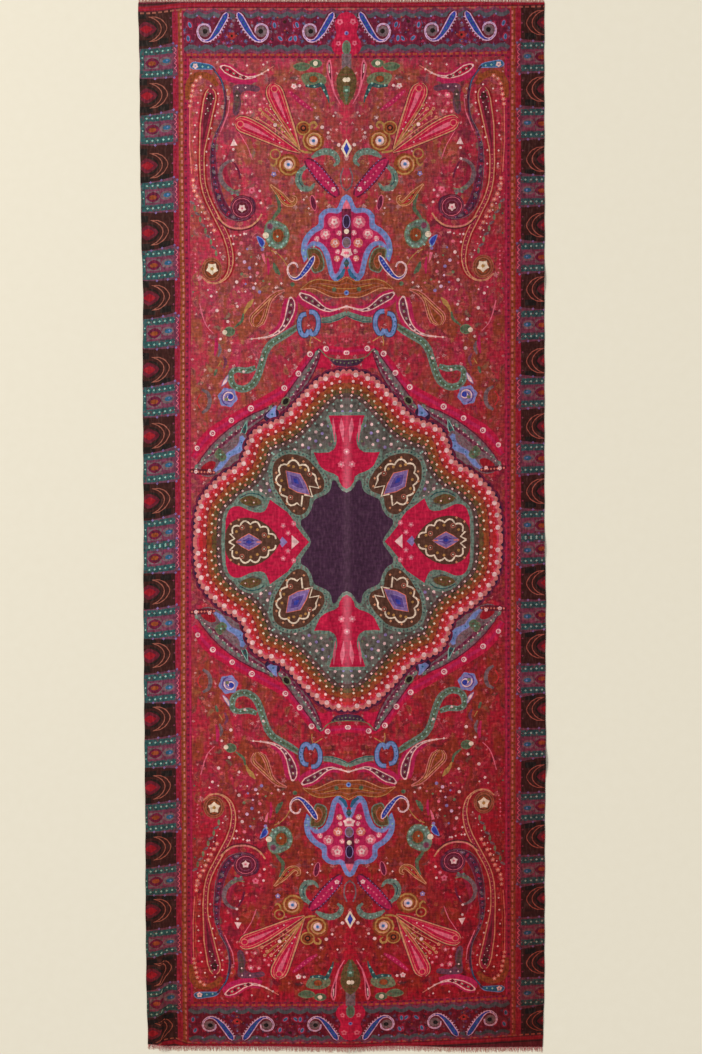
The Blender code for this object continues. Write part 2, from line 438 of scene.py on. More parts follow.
def on_cloth(chart):
    """Columns and rows of the chart to metres on the cloth."""
    across = (chart[:, 0] - MID) * SQUARE
    up = (LEVEL - chart[:, 1]) * SQUARE
    drawn_up = LOWER_DRAWN_UP * (up / LOWER_REACH) ** 2 + LOW_BAND_DRAWN_UP * np.maximum(
        0.0, -up - LOW_BAND_FROM
    )
    up = np.where(up < 0, up + drawn_up, up)
    y = MIDDLE_ON_CLOTH[1] + up
    x = MIDDLE_ON_CLOTH[0] + across * np.where(across < 0, left_scale(y), 1.0)
    x = x + LOWER_LEAN * smooth(-up / LEAN_RUN) * np.maximum(0.0, 1.0 - (across / LEAN_REACH) ** 2)
    return np.stack([x, y + weft_shift(x, y)], axis=1)


def on_chart(places):
    """The reverse: metres on the cloth to columns and rows, by closing in on the answer."""
    chart = np.array(CHART_MIDDLE) + (places - np.array(MIDDLE_ON_CLOTH)) / (SQUARE, -SQUARE)
    for _ in range(CLOSING_IN):
        chart = chart + (places - on_cloth(chart)) / (SQUARE, -SQUARE)
    return chart


# The print blocks: each is cut as one outline on the chart in one dye, and print_shape prints it in all four
# quarters. Blocks printed later cover those under them, as on the cloth.
DYES = {
    "crimson": (198, 18, 68),
    "deep_red": (158, 16, 36),
    "scarlet": (200, 38, 46),
    "brick": (176, 46, 48),
    "rust": (156, 76, 34),
    "magenta": (190, 30, 88),
    "plum": (112, 24, 62),
    "maroon": (106, 26, 46),
    "umber": (60, 26, 22),
    "bottle": (26, 22, 20),
    "brown": (90, 58, 44),
    "olive": (104, 84, 46),
    "teal": (42, 94, 96),
    "sea": (116, 146, 132),
    "mint": (152, 200, 186),
    "leaf": (90, 116, 88),
    "sage": (122, 134, 100),
    "slate": (126, 106, 112),
    "ash": (92, 70, 66),
    "aubergine": (70, 40, 68),
    "ink": (44, 26, 62),
    "sky": (118, 146, 204),
    "royal": (48, 64, 168),
    "petrol": (44, 104, 140),
    "lavender": (146, 130, 188),
    "mauve": (128, 62, 90),
    "violet": (92, 72, 146),
    "garnet": (160, 30, 62),
    "tan": (216, 150, 112),
    "gold": (186, 140, 78),
    "amber": (176, 82, 50),
    "copper": (168, 98, 82),
    "cream": (244, 228, 202),
    "shell": (244, 206, 204),
    "rose": (232, 112, 136),
    "peach": (228, 128, 110),
    "coral": (214, 122, 118),
    "cerise": (212, 62, 92),
    "lilac": (134, 110, 168),
    "blush": (224, 184, 214),
    "dusk": (84, 88, 96),
    "heather": (112, 66, 88),
    "band maroon": (112, 22, 56),
    "ring slate": (100, 100, 94),
}
DYE_NAMES = list(DYES)
CLOUDED = ("leaf", "sage", "olive", "slate", "ash", "mauve", "plum", "heather", "sea", "teal", "rust")
SEEDED = {"band maroon": 0.66, "ring slate": 0.33, **{name: 0.14 for name in CLOUDED}}
GROUND = len(DYES)
Printed = namedtuple("Printed", "dye outline")
printed = []
LONGEST_STEP = 12.0
SMALLEST_TURN = 0.25
PETAL_DEPTH = 0.3
HEART_SHARE = 0.32


def curve(points, closed=False, steps=3):
    """A smooth line through points; a third number in each, such as a half width, is smoothed with them."""
    given = np.array(points, float)
    if len(given) < 3:
        return given
    if closed:
        padded = np.vstack([given[-1:], given, given[:2]])
    else:
        padded = np.vstack([2 * given[:1] - given[1:2], given, 2 * given[-1:] - given[-2:-1]])
    share = np.arange(steps)[:, None] / steps
    runs = [
        b + 0.5 * (
            (c - a) * share + (2 * a - 5 * b + 4 * c - d) * share**2 + (3 * b - a - 3 * c + d) * share**3
        )
        for a, b, c, d in zip(padded, padded[1:], padded[2:], padded[3:])
    ]
    return np.vstack(runs if closed else [*runs, given[-1:]])


def thinned(line):
    """Drops the points of a line that hardly turn it."""
    kept = [line[0]]
    for place, ahead in zip(line[1:], line[2:]):
        chord = ahead - kept[-1]
        length = math.hypot(*chord)
        away = place - kept[-1]
        if length == 0 or abs(chord[0] * away[1] - chord[1] * away[0]) / length > SMALLEST_TURN:
            kept.append(place)
    return np.array([*kept, line[-1]])


def print_shape(dye, outline):
    """Prints a closed outline in all four quarters."""
    outline = thinned(np.array(outline, float)[:, :2])
    steps = np.roll(outline, -1, axis=0) - outline
    parts = np.ceil(np.hypot(*steps.T) / LONGEST_STEP).astype(int).clip(1)
    filled = np.vstack([a + s * np.arange(n)[:, None] / n for a, s, n in zip(outline, steps, parts)])
    number = DYE_NAMES.index(dye)
    middle = np.array(CHART_MIDDLE)
    for quarter in ((1, 1), (1, -1), (-1, 1), (-1, -1)):
        printed.append(Printed(number, middle + (filled - middle) * quarter))


def edge_normals(line, closed):
    """A unit arrow at each point of a line, square to it."""
    if closed:
        along = np.roll(line, -1, axis=0) - np.roll(line, 1, axis=0)
    else:
        along = np.gradient(line, axis=0)
    return np.stack([-along[:, 1], along[:, 0]], axis=1) / np.maximum(np.hypot(*along.T), 1e-9)[:, None]


def band(points, width=None, closed=False, steps=3):
    """The outline of a band along a smooth line. With no width, a point's third number is its half width."""
    line = curve(points, closed, steps)
    half = line[:, 2:] if width is None else width / 2
    arrows = edge_normals(line[:, :2], closed) * half
    left, right = line[:, :2] + arrows, line[:, :2] - arrows
    if closed:
        left, right = np.vstack([left, left[:1]]), np.vstack([right, right[:1]])
    return np.vstack([left, right[::-1]])


def stroke(dye, points, width=None, closed=False, steps=3):
    """Prints a band along a smooth line."""
    print_shape(dye, band(points, width, closed, steps))


def inset(line, distance, closed=True):
    """A line moved sideways: inwards for a closed one, towards its right for an open one."""
    if closed:
        x, y = line[:, 0], line[:, 1]
        distance = distance * np.sign(np.sum(x * np.roll(y, -1) - y * np.roll(x, -1)))
    return line + edge_normals(line, closed) * distance


def patch(dye, outline, *edges):
    """Prints a filled shape with edge lines, each (dye, width, how far inside)."""
    print_shape(dye, outline)
    for edge, width, inside in edges:
        stroke(edge, inset(np.array(outline), inside), width, closed=True, steps=1)


def widened(spine, more, least=0.05):
    """A band's line with each half width made larger, or smaller down to a least one."""
    return [(column, row, max(least, half + more)) for column, row, half in spine]


def scaled(spine, share):
    """A band's line with a share of each half width."""
    return [(column, row, half * share) for column, row, half in spine]


def middle_line(spine):
    """The smooth line down the middle of a band."""
    return curve([place[:2] for place in spine])


def rounded(points, steps=3):
    """A smooth closed outline through points."""
    return curve(points, True, steps)


def corners(*runs):
    """Joins smooth runs into one outline, with a sharp corner wherever two meet."""
    return np.vstack([curve(run)[:-1] for run in runs])


def dots(dye, radius, places, sides=None):
    """Prints a round dot at each place, of more sides the larger it is."""
    sides = sides or (4 if radius < 1.45 else 5 if radius < 1.8 else 7 if radius < 3 else 10)
    for column, row in places:
        turns = np.arange(sides) * 2 * math.pi / sides
        print_shape(dye, np.stack([column + radius * np.cos(turns), row + radius * np.sin(turns)], axis=1))


def oval(column, row, wide, high, turn=0.0, sides=14, lobes=0, depth=0.0):
    """An oval outline of half width wide and half height high, turned by degrees, with petals if wanted."""
    turns = np.arange(sides) * 2 * math.pi / sides
    out = 1.0 - depth * (0.5 - 0.5 * np.cos(lobes * turns))
    x, y = wide * out * np.cos(turns), high * out * np.sin(turns)
    sine, cosine = math.sin(math.radians(turn)), math.cos(math.radians(turn))
    return np.stack([column + x * cosine - y * sine, row + x * sine + y * cosine], axis=1)


def flower(dye, column, row, radius, heart="crimson", petals=5):
    """Prints a round blossom with a heart of another dye."""
    print_shape(dye, oval(column, row, radius, radius, 18, petals * 2, petals, PETAL_DEPTH))
    dots(heart, radius * HEART_SHARE, [(column, row)], 5)


def evenly(line, spacing, start=0.5):
    """Points at even steps along a line."""
    steps = np.hypot(*np.diff(line, axis=0).T)
    reach = np.concatenate([[0.0], np.cumsum(steps)])
    at = np.arange(start * spacing, reach[-1], spacing)
    return np.stack([np.interp(at, reach, line[:, 0]), np.interp(at, reach, line[:, 1])], axis=1)


def beads(dye, radius, line, spacing, start=0.5, sides=None):
    """Prints dots at even steps along a line."""
    dots(dye, radius, evenly(np.array(line, float)[:, :2], spacing, start), sides)


def dashes(dye, line, spacing, length, width):
    """Prints short dashes, like stitches, along a line."""
    places = evenly(np.array(line, float), spacing)
    for place, ahead in zip(places, places[1:]):
        step = (ahead - place) / spacing * length / 2
        across = np.array((-step[1], step[0])) / (length / 2) * width / 2
        middle = (place + ahead) / 2
        near, far = middle - step, middle + step
        print_shape(dye, [near - across, far - across, far + across, near + across])


def scallops(line, spacing, bulge, closed=False):
    """A line broken into round scallops that stand out to its right."""
    line = np.array(line, float)
    if closed:
        line = np.vstack([line, line[:1]])
    length = np.hypot(*np.diff(line, axis=0).T).sum()
    count = max(1, round(length / spacing))
    parts = 3 if spacing < 7 else 5
    fine = evenly(line, length / (count * parts), 0.0)
    out = bulge * np.abs(np.sin(np.arange(len(fine)) * math.pi / parts))
    return fine + edge_normals(fine, False) * out[:, None]


def box(left, right, top, bottom):
    """The corners of an upright oblong."""
    return [(left, top), (right, top), (right, bottom), (left, bottom)]


def to_middle(line):
    """Closes a line of the medallion, from the upright middle line round to the level one, at the middle."""
    line = np.minimum(np.array(line)[:, :2], CHART_MIDDLE)
    line[0, 0] = MID
    line[-1, 1] = LEVEL
    return np.vstack([line, [CHART_MIDDLE]])


# The side border, printed down both selvedges: dark squares with a red diamond inside a crescent, taking
# turns with sets of beaded green bars, and a striped, scalloped edge towards the field.
BAR_SETS = (59.5, 126, 193.5, 261.5, 329.5, 397, 463, 530)
ARCHES = (25.5, 92, 162, 229, 294, 365.5, 431, 496)
print_shape("umber", box(120, 173, 8, LEVEL))
for row in ARCHES:
    print_shape("bottle", box(120, 146, row - 17, row - 10.5))
    print_shape("bottle", box(120, 152, row + 11, row + 17))
    print_shape("bottle", box(157, 168, row + 10, row + 16))
    crescent = corners(
        [
            (148, row - 12.4), (156, row - 12), (163, row - 7.6), (166.8, row), (163, row + 7.6),
            (156, row + 12), (148, row + 12.4),
        ],
        [
            (148, row + 12.4), (154.4, row + 9.6), (159.2, row + 4.8), (160.6, row), (159.2, row - 4.8),
            (154.4, row - 9.6), (148, row - 12.4),
        ],
    )
    patch("umber", crescent, ("copper", 0.9, 0.3))
    stroke("bottle", [
        (146, row - 8.4), (152.6, row - 6.4), (156.8, row), (152.6, row + 6.4), (146, row + 8.4),
    ], 1.5)
    print_shape("maroon", rounded([
        (137.6, row), (143.6, row - 7.4), (150.2, row - 5.4), (156.4, row), (150.2, row + 5.4),
        (143.6, row + 7.4),
    ], 2))
    print_shape("deep_red", oval(146, row, 6.4, 4.2, 0, 8, 4, 0.2))
    dots("mauve", 1.1, [(170.4, row - 9), (171.2, row), (170.4, row + 9)])
print_shape("garnet", box(172, 180, 8, LEVEL))
print_shape("rust", box(177.6, 182.4, 8, LEVEL))
print_shape(
    "deep_red", np.vstack([scallops([(173, LEVEL), (173, 8)], 6.5, 3.4), [(175, 8), (175, LEVEL)]])
)
for row in BAR_SETS:
    print_shape("heather", [
        (136, row - 14), (158, row - 16), (171, row - 18), (177, row - 15), (175, row), (177, row + 15),
        (171, row + 17), (136, row + 15),
    ])
    print_shape("mauve", box(136, 171, row - 7, row + 7))
    print_shape("slate", box(144, 158, row - 5.6, row + 5.8))
    for level in (row - 11.2, row + 11.2):
        print_shape("teal", box(140, 175.6, level - 3.2, level + 3.2))
        dots("mint", 1.2, [(column, level) for column in (145.5, 151, 156.5, 162, 167.5, 172.5)])
    print_shape("teal", box(139, 143.2, row - 12, row + 12))
    dots("mint", 0.9, [(141.4, row - 5.4), (141.4, row + 1)])
    print_shape("plum", oval(151.2, row, 7.2, 5.4, 0, 12, 4, 0.12))
    print_shape("rust", oval(151, row + 0.4, 4.2, 2.4, 0, 8))
    print_shape("slate", oval(164.6, row - 0.4, 6.4, 4.6, 0, 10))
    print_shape("petrol", oval(165.4, row - 0.6, 4, 2.4, 0, 8))
    dots("sky", 1.2, [(166.2, row - 0.8)])
    stroke("mauve", [(173.6, row - 14), (173.6, row + 14)], 3.4)
    stroke("rose", scallops([(173.4, row - 13), (173.4, row + 13)], 5.2, -2.2), 0.8, steps=1)
    dots("lilac", 1.4, [
        (172.5, row - 17.5), (176, row - 14.5), (173.5, row + 17), (160, row - 16), (149, row - 14.6),
        (154, row + 16), (165, row + 16),
    ])
print_shape("garnet", box(182.3, 188.4, 8, LEVEL))
stroke("magenta", [(186.9, 8), (186.9, LEVEL)], 0.9)
dots("plum", 1.4, [(184.6, 60 + 6.2 * step) for step in range(78)], 4)
dashes("copper", [(180.4, 8), (180.4, LEVEL)], 6.4, 4, 2.2)
dashes("coral", [(180.8, 8), (180.8, LEVEL)], 6.4, 3.4, 1.2)

# The end band, printed across both ends inside the fringe: hooked blue pines with pearled edges on busy
# maroon, between scalloped edges, with a red stripe and lines of stitches at the hem.
print_shape("garnet", box(181.5, MID, 10, 58.5))
print_shape("band maroon", box(183, MID, 11, 53))
print_shape("maroon", box(110, MID, -8, 8.2))
stroke("deep_red", [(110, 5), (MID, 5)], 4.2)
stroke("garnet", [(110, 5.4), (MID, 5.4)], 1.2)
stroke("umber", [(110, 1), (MID, 1)], 1.6)
dashes("copper", [(118, 9.4), (MID, 9.4)], 6, 3.8, 1.7)
for row, bulge in ((13.2, -3.4), (50, 3.4)):
    edge = scallops([(184, row), (MID, row)], 14.8, -bulge)
    stroke("mauve", inset(edge, 3.4 * np.sign(bulge), False), 3.4, steps=1)
    stroke("dusk", edge, 4, steps=1)
dashes("amber", [(182, 54.8), (MID, 54.8)], 6, 3.8, 2)
dashes("plum", [(184, 57.3), (MID, 57.3)], 6.4, 3.2, 1.6)
PINE = (
    (210.2, 32.5, 0.6), (209.2, 26.8, 0.8), (204.4, 24.2, 0.9), (199.2, 26, 0.9), (197, 31, 1),
    (198.6, 37, 1.2), (203, 40.8, 1.4), (208.4, 40.4, 1.8), (213.6, 35.8, 2.6), (218.2, 29, 3.4),
    (222.2, 21.8, 3.7), (225.6, 15.8, 3.2), (227.2, 12.6, 1.2),
)
for slide, facing in ((0, 1), (465, -1), (106, 1)):
    pine = [(slide + facing * column, row, half) for column, row, half in PINE]
    print_shape("maroon", band(widened(pine[4:], 1.6)))
    dots("slate", 5.6, [(slide + facing * 204, 31.6)], 12)
    dots("bottle", 2.6, [(slide + facing * 204.6, 31.4)], 8)
    stroke("blush", pine)
    print_shape("royal", band(widened(pine, -1, 0.1)))
    beads(
        "blush", 0.9,
        curve([(column + facing * half, row + half * 0.6) for column, row, half in pine[5:12]]), 3.4,
    )
    beads("petrol", 1.3, middle_line(pine[8:12]), 3.4)
for slide in (0, 107.5):
    for column, row, turn in (
        (189.5, 25, 70), (187.6, 38.6, 85), (274.4, 25.4, 80), (295, 25, 100), (280, 38.6, 45),
        (290.6, 38.8, 135),
    ):
        if slide + column < 340:
            print_shape("garnet", oval(slide + column, row, 4.6, 3.3, turn, 9))
            patch("petrol", oval(slide + column, row, 3.2, 1.9, turn, 8), ("lavender", 0.6, 0.4))
flower("plum", 284.6, 22, 6.2, "umber", 4)
dots("amber", 1, [(277.5, 17.5), (291.5, 17.5), (284.6, 30.5), (236, 35.5), (231.4, 42.2), (226.8, 35.5)])
dots("lavender", 1.2, [
    (197, 15.6), (214, 17), (251, 15.8), (262, 17), (305, 15.6), (318, 18), (231.4, 24), (231.4, 48),
])
flower("brick", 231.4, 36, 4.6, "bottle", 5)
print_shape("crimson", curve([
    (MID, 12), (339, 15), (334.6, 24), (336.4, 34), (331.6, 44), (334.6, 53), (MID, 58),
]))
patch("leaf", oval(MID, 48, 4.6, 7.5, 0, 14), ("sea", 1.2, 0.6))
flower("rose", 340, 22, 3.6, "crimson")
flower("rose", 338.4, 43.5, 3, "crimson")
dots("lavender", 2.2, [(MID, 33.5)])
dots("royal", 1.2, [(MID, 33.5)])

# The outer field, printed beside the border: the long drooping pine with its chains of blossom, and the
# dark curl that holds a pink flower.
patch("petrol", rounded([
    (188.6, 66.2), (192, 62), (201, 62.6), (211, 65.2), (216, 71.6), (211, 69.6), (202, 69.6),
    (192.4, 69.4),
]), ("sky", 0.8, 0.4))
flower("shell", 194.4, 66.2, 3.2, "lavender")
dots("mint", 1.2, [(201.6, 66.6), (207.4, 67.2)])
CURL = (
    (212, 68, 1.2), (219, 77, 1.4), (223.6, 88, 1.5), (225.2, 102, 1.5), (223, 118, 1.5),
    (216.6, 131, 1.7), (212.4, 146, 2.6), (212.2, 164, 3.6), (214.8, 186, 4.4), (219.4, 202, 4.8),
    (226, 212.5, 4.6), (234.6, 218, 3.8), (243.6, 218.6, 3), (250.6, 214.6, 2.4), (253.8, 207, 2),
    (251.6, 199.6, 1.4), (246, 196.6, 0.6),
)
stroke("plum", scaled(CURL, 0.86))
stroke("aubergine", [(column - 0.6, row, half * 0.42) for column, row, half in CURL])
stroke("petrol", [(214, 71), (220.6, 80), (223.4, 90)], 0.9)
for count, place in enumerate(evenly(middle_line(CURL[5:14]), 6.4)):
    print_shape(
        ("mauve", "garnet", "slate", "plum")[count % 4], oval(*place, 3, 1.7, 50 + 70 * (count % 3), 7)
    )
stroke("mauve", [(column + half * 0.8, row - half * 0.5, 0.45) for column, row, half in CURL[4:14]])
stroke("slate", [(column - half * 0.9, row + half * 0.5, 0.35) for column, row, half in CURL[2:14]])
beads("lavender", 0.55, middle_line(CURL[5:14]), 5.6)
stroke("garnet", [(228.6, 150, 0.4), (223.6, 164, 1.6), (226.4, 180, 2.2), (233.6, 198, 1.2)])
stroke("rose", [(234.6, 122), (238, 132), (246.6, 146), (251.6, 160)], 0.8)
stroke("rose", [(228.8, 100), (227.6, 112), (223, 124), (219.6, 132)], 1)
dots("maroon", 12, [(241, 207)], 20)
for dye, ring, width in (("mauve", 11.6, 0.9), ("rose", 9.8, 0.6), ("plum", 8, 1.2), ("mauve", 6.4, 0.9)):
    stroke(dye, oval(241.2, 207.8, ring, ring * 0.96, 20), width, closed=True, steps=1)
flower("shell", 241, 208.4, 4.2, "rose")
stroke("slate", [
    (232, 160.5, 1), (225, 163, 1.6), (219.6, 170.5, 2), (220.4, 180.5, 2.2), (225.6, 187.5, 2.4),
    (232.6, 192, 2.2), (239, 192.4, 1),
])
stroke("sage", [(226, 187.5), (233, 190.6), (240, 189.6)], 1.2)
dots("sea", 1.5, [(227, 190), (231, 193.6), (236.5, 194.6)])
dots("shell", 1.5, [(232.2, 160.2), (235.8, 168.6)])
stroke("plum", [(233.6, 163), (238, 171), (239.6, 179)], 2)
stroke("rust", [
    (186.6, 100, 2.2), (187.6, 86, 3.2), (192.6, 77.4, 3.4), (202, 75, 3.2), (211, 78.6, 3),
    (216.6, 86, 2.2),
])
LONG_PINE = (
    (209.8, 89, 2.6), (209.8, 93, 5.4), (209, 99, 6.5), (207.4, 107, 6.3), (205.6, 116, 5.9),
    (203.8, 127, 5.2), (202.2, 140, 4), (200.9, 154, 3), (200.8, 170, 2.7), (202.4, 186, 2.7),
    (206.8, 200.6, 2.8), (213.6, 214.4, 2.9), (220.2, 226.6, 3), (225.6, 238.6, 3), (228.8, 251, 2.8),
    (229.4, 263, 2.4), (226.6, 273.6, 1.8), (220.6, 280.6, 1.2), (213, 283.4, 0.9), (205.4, 282, 0.8),
    (199.2, 276.6, 0.5),
)
print_shape("deep_red", band(widened(LONG_PINE[:18], 1.8), steps=2))
print_shape("tan", band(LONG_PINE))
print_shape("garnet", band(widened(LONG_PINE, -1.1, 0.1)))
stroke("maroon", widened(LONG_PINE[1:8], -3.4), steps=2)
flower("umber", 209.2, 98, 4.4, "plum")
dots("sage", 1, [(207, 92.4), (204.6, 103), (207.4, 111)])
beads("tan", 0.6, middle_line(LONG_PINE[7:18]), 4.6)
dots("shell", 0.8, [(209.4, 93.8), (212.6, 98.6), (206, 98.6), (210, 104), (206.8, 108.6), (204.8, 114)])
stroke("maroon", [(217, 220), (225.6, 227.6), (237, 230.4), (249, 228.2), (257, 222.2)], 1.8)
stroke("tan", [(216.6, 217.6), (225.6, 225.8), (237, 228.6), (248, 226.8), (256.4, 221), (261, 214)], 1.7)
stroke("rose", [(221, 221.6), (228.6, 226.6), (237.6, 228.6), (247, 227.4)], 0.7)
dots("shell", 1.15, [
    (210, 86), (200, 90.5), (217.3, 93.6), (197, 102.8), (217.3, 104.3), (196, 112.7), (214.3, 115.8),
    (194, 125.4),
    (210.4, 128.4), (193.6, 137.2), (207.8, 139), (194.4, 152.5), (205.6, 152), (195, 165.5),
    (205.8, 165.5),
    (233, 236), (239, 235), (245, 234), (205.5, 290), (214.4, 292), (253.7, 283.7), (208.6, 295.7),
    (243.6, 291.6),
])
patch(
    "rust", oval(209.8, 269.4, 10.8, 12, 0, 20), ("copper", 0.7, 0.6), ("copper", 0.8, 2.6),
    ("brown", 0.9, 4.2),
)
flower("cream", 210, 268.8, 6.4, "gold")
for radius, chain in (
    (2.4, [
        (199.5, 77.4), (195.4, 80.6), (192.6, 85.6), (191.6, 90.8), (190.4, 96.2), (189.6, 101.2),
        (189, 106),
    ]),
    (2.5, [
        (192, 180.4), (192.2, 185.6), (193, 190.8), (195.6, 196), (198.8, 201.6), (201, 207.4),
        (203.6, 213.2), (206.6, 218.8), (209.6, 224.6), (212.8, 230.4),
    ]),
):
    for column, row in chain:
        flower("peach", column, row, radius, "shell")
stroke("peach", [(188.8, 108), (188.4, 130), (188.8, 152), (190.4, 174)], 0.9)
stroke("amber", [(191.4, 108), (190.8, 134), (191.4, 160), (193, 176)], 0.7)
for count, (column, row) in enumerate(evenly(curve([
    (189.4, 200), (194, 210), (199, 220), (204, 231), (210.4, 244), (216.6, 258),
]), 6.2)):
    patch("sage" if count % 2 else "slate", oval(column, row, 3.2, 1.4, 30 + 60 * (count % 2), 8))
beads("shell", 0.9, curve([
    (191.6, 196), (197, 206), (202.4, 217), (208.6, 231), (214.6, 244), (221.6, 260),
]), 7.4)
beads("rose", 1.1, curve([(193.4, 252), (193, 262), (193.6, 272), (197, 282)]), 4.4)
dots("leaf", 1.2, [(190.4, 216), (190.4, 236), (190.4, 292)])

# The upper field, printed under the end band: the seed pod, the green foliage and the slim pod beside the
# middle line, and the two red wings with their gold tendrils.
POD = (
    (219.4, 66.6, 1.4), (222.6, 67.8, 3.4), (227.6, 70.4, 4.6), (233.4, 73.8, 4), (240, 76.8, 2.7),
    (248, 78, 1.7), (257, 75.8, 1), (265.6, 71.2, 0.7), (273.6, 66, 0.4),
)
LEFT_POD = (
    (289.4, 297, 1.6), (290.2, 302.4, 4.2), (289.6, 309.4, 4.7), (287.6, 317, 4), (284, 324.6, 3),
    (278.6, 331, 2.2), (270.4, 335.8, 1.5), (259.4, 338.2, 1), (246.6, 339.2, 0.4),
)
TOP_POD = (
    (298.6, 293.4, 1.8), (303.4, 296.6, 4), (309.4, 299.8, 4.6), (316.4, 304.2, 3.8), (323, 308.6, 2.6),
    (330.4, 310.6, 1.7), (339, 309, 1.2), (346.6, 306.4, 1),
)


def seed_pod(spine, inside):
    """A pale outlined pod with dark cells, running out into a thin double tail."""
    print_shape("peach", band(spine))
    print_shape("shell", band(widened(spine, -0.45, 0.1)))
    print_shape(inside, band(widened(spine, -1.25)))
    line = middle_line(spine)
    beads("shell", 1.2, line, 7.4, 0.1, 6)
    for place in evenly(line, 7.4, 0.55)[:4]:
        dots("maroon", 1.9, [place], 7)
    for place in evenly(line, 7.4, 1.05)[:3]:
        dots("sage", 1.3, [place], 6)
        dots("cream", 0.6, [place])


print_shape("magenta", band([(column - 1, row + 1.5, half + 3.6) for column, row, half in POD[:7]]))
seed_pod(POD, "crimson")
dots("shell", 1.2, [(246.4, 65.6), (262.8, 64.6), (237, 87.5), (245, 87.5), (236.4, 95.5)])
patch("heather", rounded([
    (233, 86), (246, 84.4), (259, 87), (257, 92), (246, 90.6), (240, 95), (240.6, 104), (237, 115),
    (232, 113), (233, 100),
]))
patch("ash", rounded([(234.6, 90), (239, 93), (238.6, 104), (235.4, 112), (233.6, 102)]))
dots("shell", 1.1, [(237, 87.6), (245, 87.6), (236.4, 95.6)])
for column, row, radius in (
    (245.6, 96, 3.4), (253.7, 95.4, 2.4), (245, 104.3, 2), (250, 112, 2.4), (241.6, 112.6, 2),
    (263.6, 99, 1.8), (259.4, 104.6, 1.8),
):
    flower("rose", column, row, radius, "cream")
patch("leaf", rounded([
    (292.6, 66.6), (297, 63), (304, 62.4), (310.6, 65.4), (307, 70.2), (299, 71.2),
]), ("sage", 1, 0.5))
patch("sage", rounded([
    (301, 76), (308, 72.6), (319, 73), (326, 78.6), (324, 85.4), (314, 87.6), (304.6, 84.6),
]))
patch("rust", oval(313.2, 79.2, 5.2, 4.2, 0, 14), ("leaf", 1.4, 0.2))
patch("leaf", oval(315.6, 63.6, 6.4, 4.4, 0, 14), ("sage", 0.9, 0.5))
dots("cream", 2.5, [(315.3, 63.4)], 9)
stroke("teal", [
    (305, 86, 1.2), (314, 86.6, 1.9), (321.4, 85, 2.1), (325, 90.4, 1.9), (328, 97.6, 1.2),
    (329, 103, 0.5),
])
dots("mint", 1.2, [(308, 85.6), (314.4, 86.4), (321, 83.6), (323.8, 90), (327, 96)])
flower("shell", 293.6, 86.2, 3.2, "rose")
dots("shell", 1.7, [(299.5, 85.8)])
stroke("magenta", [(288, 91, 1.2), (296, 98, 2.4), (304, 104.6, 2.6), (312.6, 110.4, 1.2)])
beads("rose", 0.9, curve([(288, 91), (296, 98), (304, 104.6), (312.6, 110.4)]), 4.4)
stroke("rose", [
    (329.4, 60, 1), (329, 66, 2.8), (329.6, 73, 2.4), (331.4, 82.6, 1.2), (334.6, 94, 0.8),
    (340.4, 104.6, 0.4),
])
stroke("maroon", [(329.2, 62, 0.2), (329.1, 66.4, 1.5), (329.7, 72.6, 1.2), (331, 80, 0.3)])
stroke("shell", [(328.8, 64.4), (329.4, 73)], 0.9)
print_shape("slate", box(341.6, MID, 54, 71))
print_shape("olive", curve([(341, 70), (336.6, 78), (337.2, 90), (341.6, 100), (MID, 104), (MID, 66)]))
dots("cream", 2.4, [(345, 80)], 8)
stroke("leaf", [(MID, 86, 3), (MID, 92, 3.4), (MID, 99, 1.6), (MID, 104, 0.4)])
dots("mint", 1.4, [(346, 90.6)])
for column, row, radius in (
    (322, 127.3, 1.9), (328, 132.8, 1.5), (338.7, 145, 1.9), (333.4, 116, 1.2), (316.4, 118, 1.2),
):
    dots("shell", radius, [(column, row)])
patch("cream", [(MID, 139), (341, 149), (MID, 158.6)])
patch("royal", [(MID, 142.6), (343.6, 149), (MID, 155.2)])
UPPER_WING = (
    (272.4, 83.6, 2.6), (272.8, 87.4, 7.2), (274.8, 94.6, 9), (279.6, 106.4, 8.2), (285.4, 119, 6.6),
    (291.2, 131.6, 4.8), (296, 142, 2.9), (299.6, 150.4, 0.8),
)
LOWER_WING = (
    (234.4, 121.6, 2.6), (238.4, 122.6, 7.2), (245.6, 125.8, 8.8), (257.4, 131.4, 8.4),
    (269.4, 137.6, 6.8), (281.2, 143.8, 4.8), (291.2, 149, 2.9), (300, 152.8, 0.8),
)
for wing in (UPPER_WING, LOWER_WING):
    for dye, more in (("maroon", 0.8), ("tan", 0), ("crimson", -1.2), ("peach", -2.8), ("crimson", -3.6)):
        print_shape(dye, band(widened(wing, more, 0.04)))
    line = middle_line(wing[1:6])
    beads("shell", 1, line, 7)
    stroke("rose", widened(wing[1:6], -6.6))
    patch("crimson", oval(wing[1][0] + 1.2, wing[1][1] + 1.6, 3.2, 3.2, 0, 12), ("peach", 1, 0))
for bend, dye in (
    ((262, 114), "gold"), ((266, 109.6), "tan"), ((257, 118.4), "tan"), ((270, 105.6), "gold"),
    ((259.6, 109.6), "gold"),
):
    stroke(dye, [(299, 149), ((299 + bend[0]) / 2 + 2, (149 + bend[1]) / 2 - 1), bend], 1)
    flower("tan", bend[0], bend[1], 2, "crimson")
beads("rose", 1, curve([(262, 105), (272, 119), (283, 133.4)]), 5.2)
beads("peach", 1, curve([(254, 112.6), (268, 122), (282, 137.4)]), 5.8)
beads("shell", 0.7, curve([(264.6, 101), (274.6, 116), (286, 134.4)]), 6.6)
dots("shell", 2, [(274.6, 125)])


def tendril(column, row, reach, coils, start, hand):
    """A tendril that coils in to its eye."""
    turns = np.linspace(0, coils * 2 * math.pi, int(coils * 12))
    out = reach * (1 - 0.8 * turns / turns[-1])
    way = math.radians(start) + hand * turns
    return np.stack([column + out * np.cos(way), row + out * np.sin(way)], axis=1)


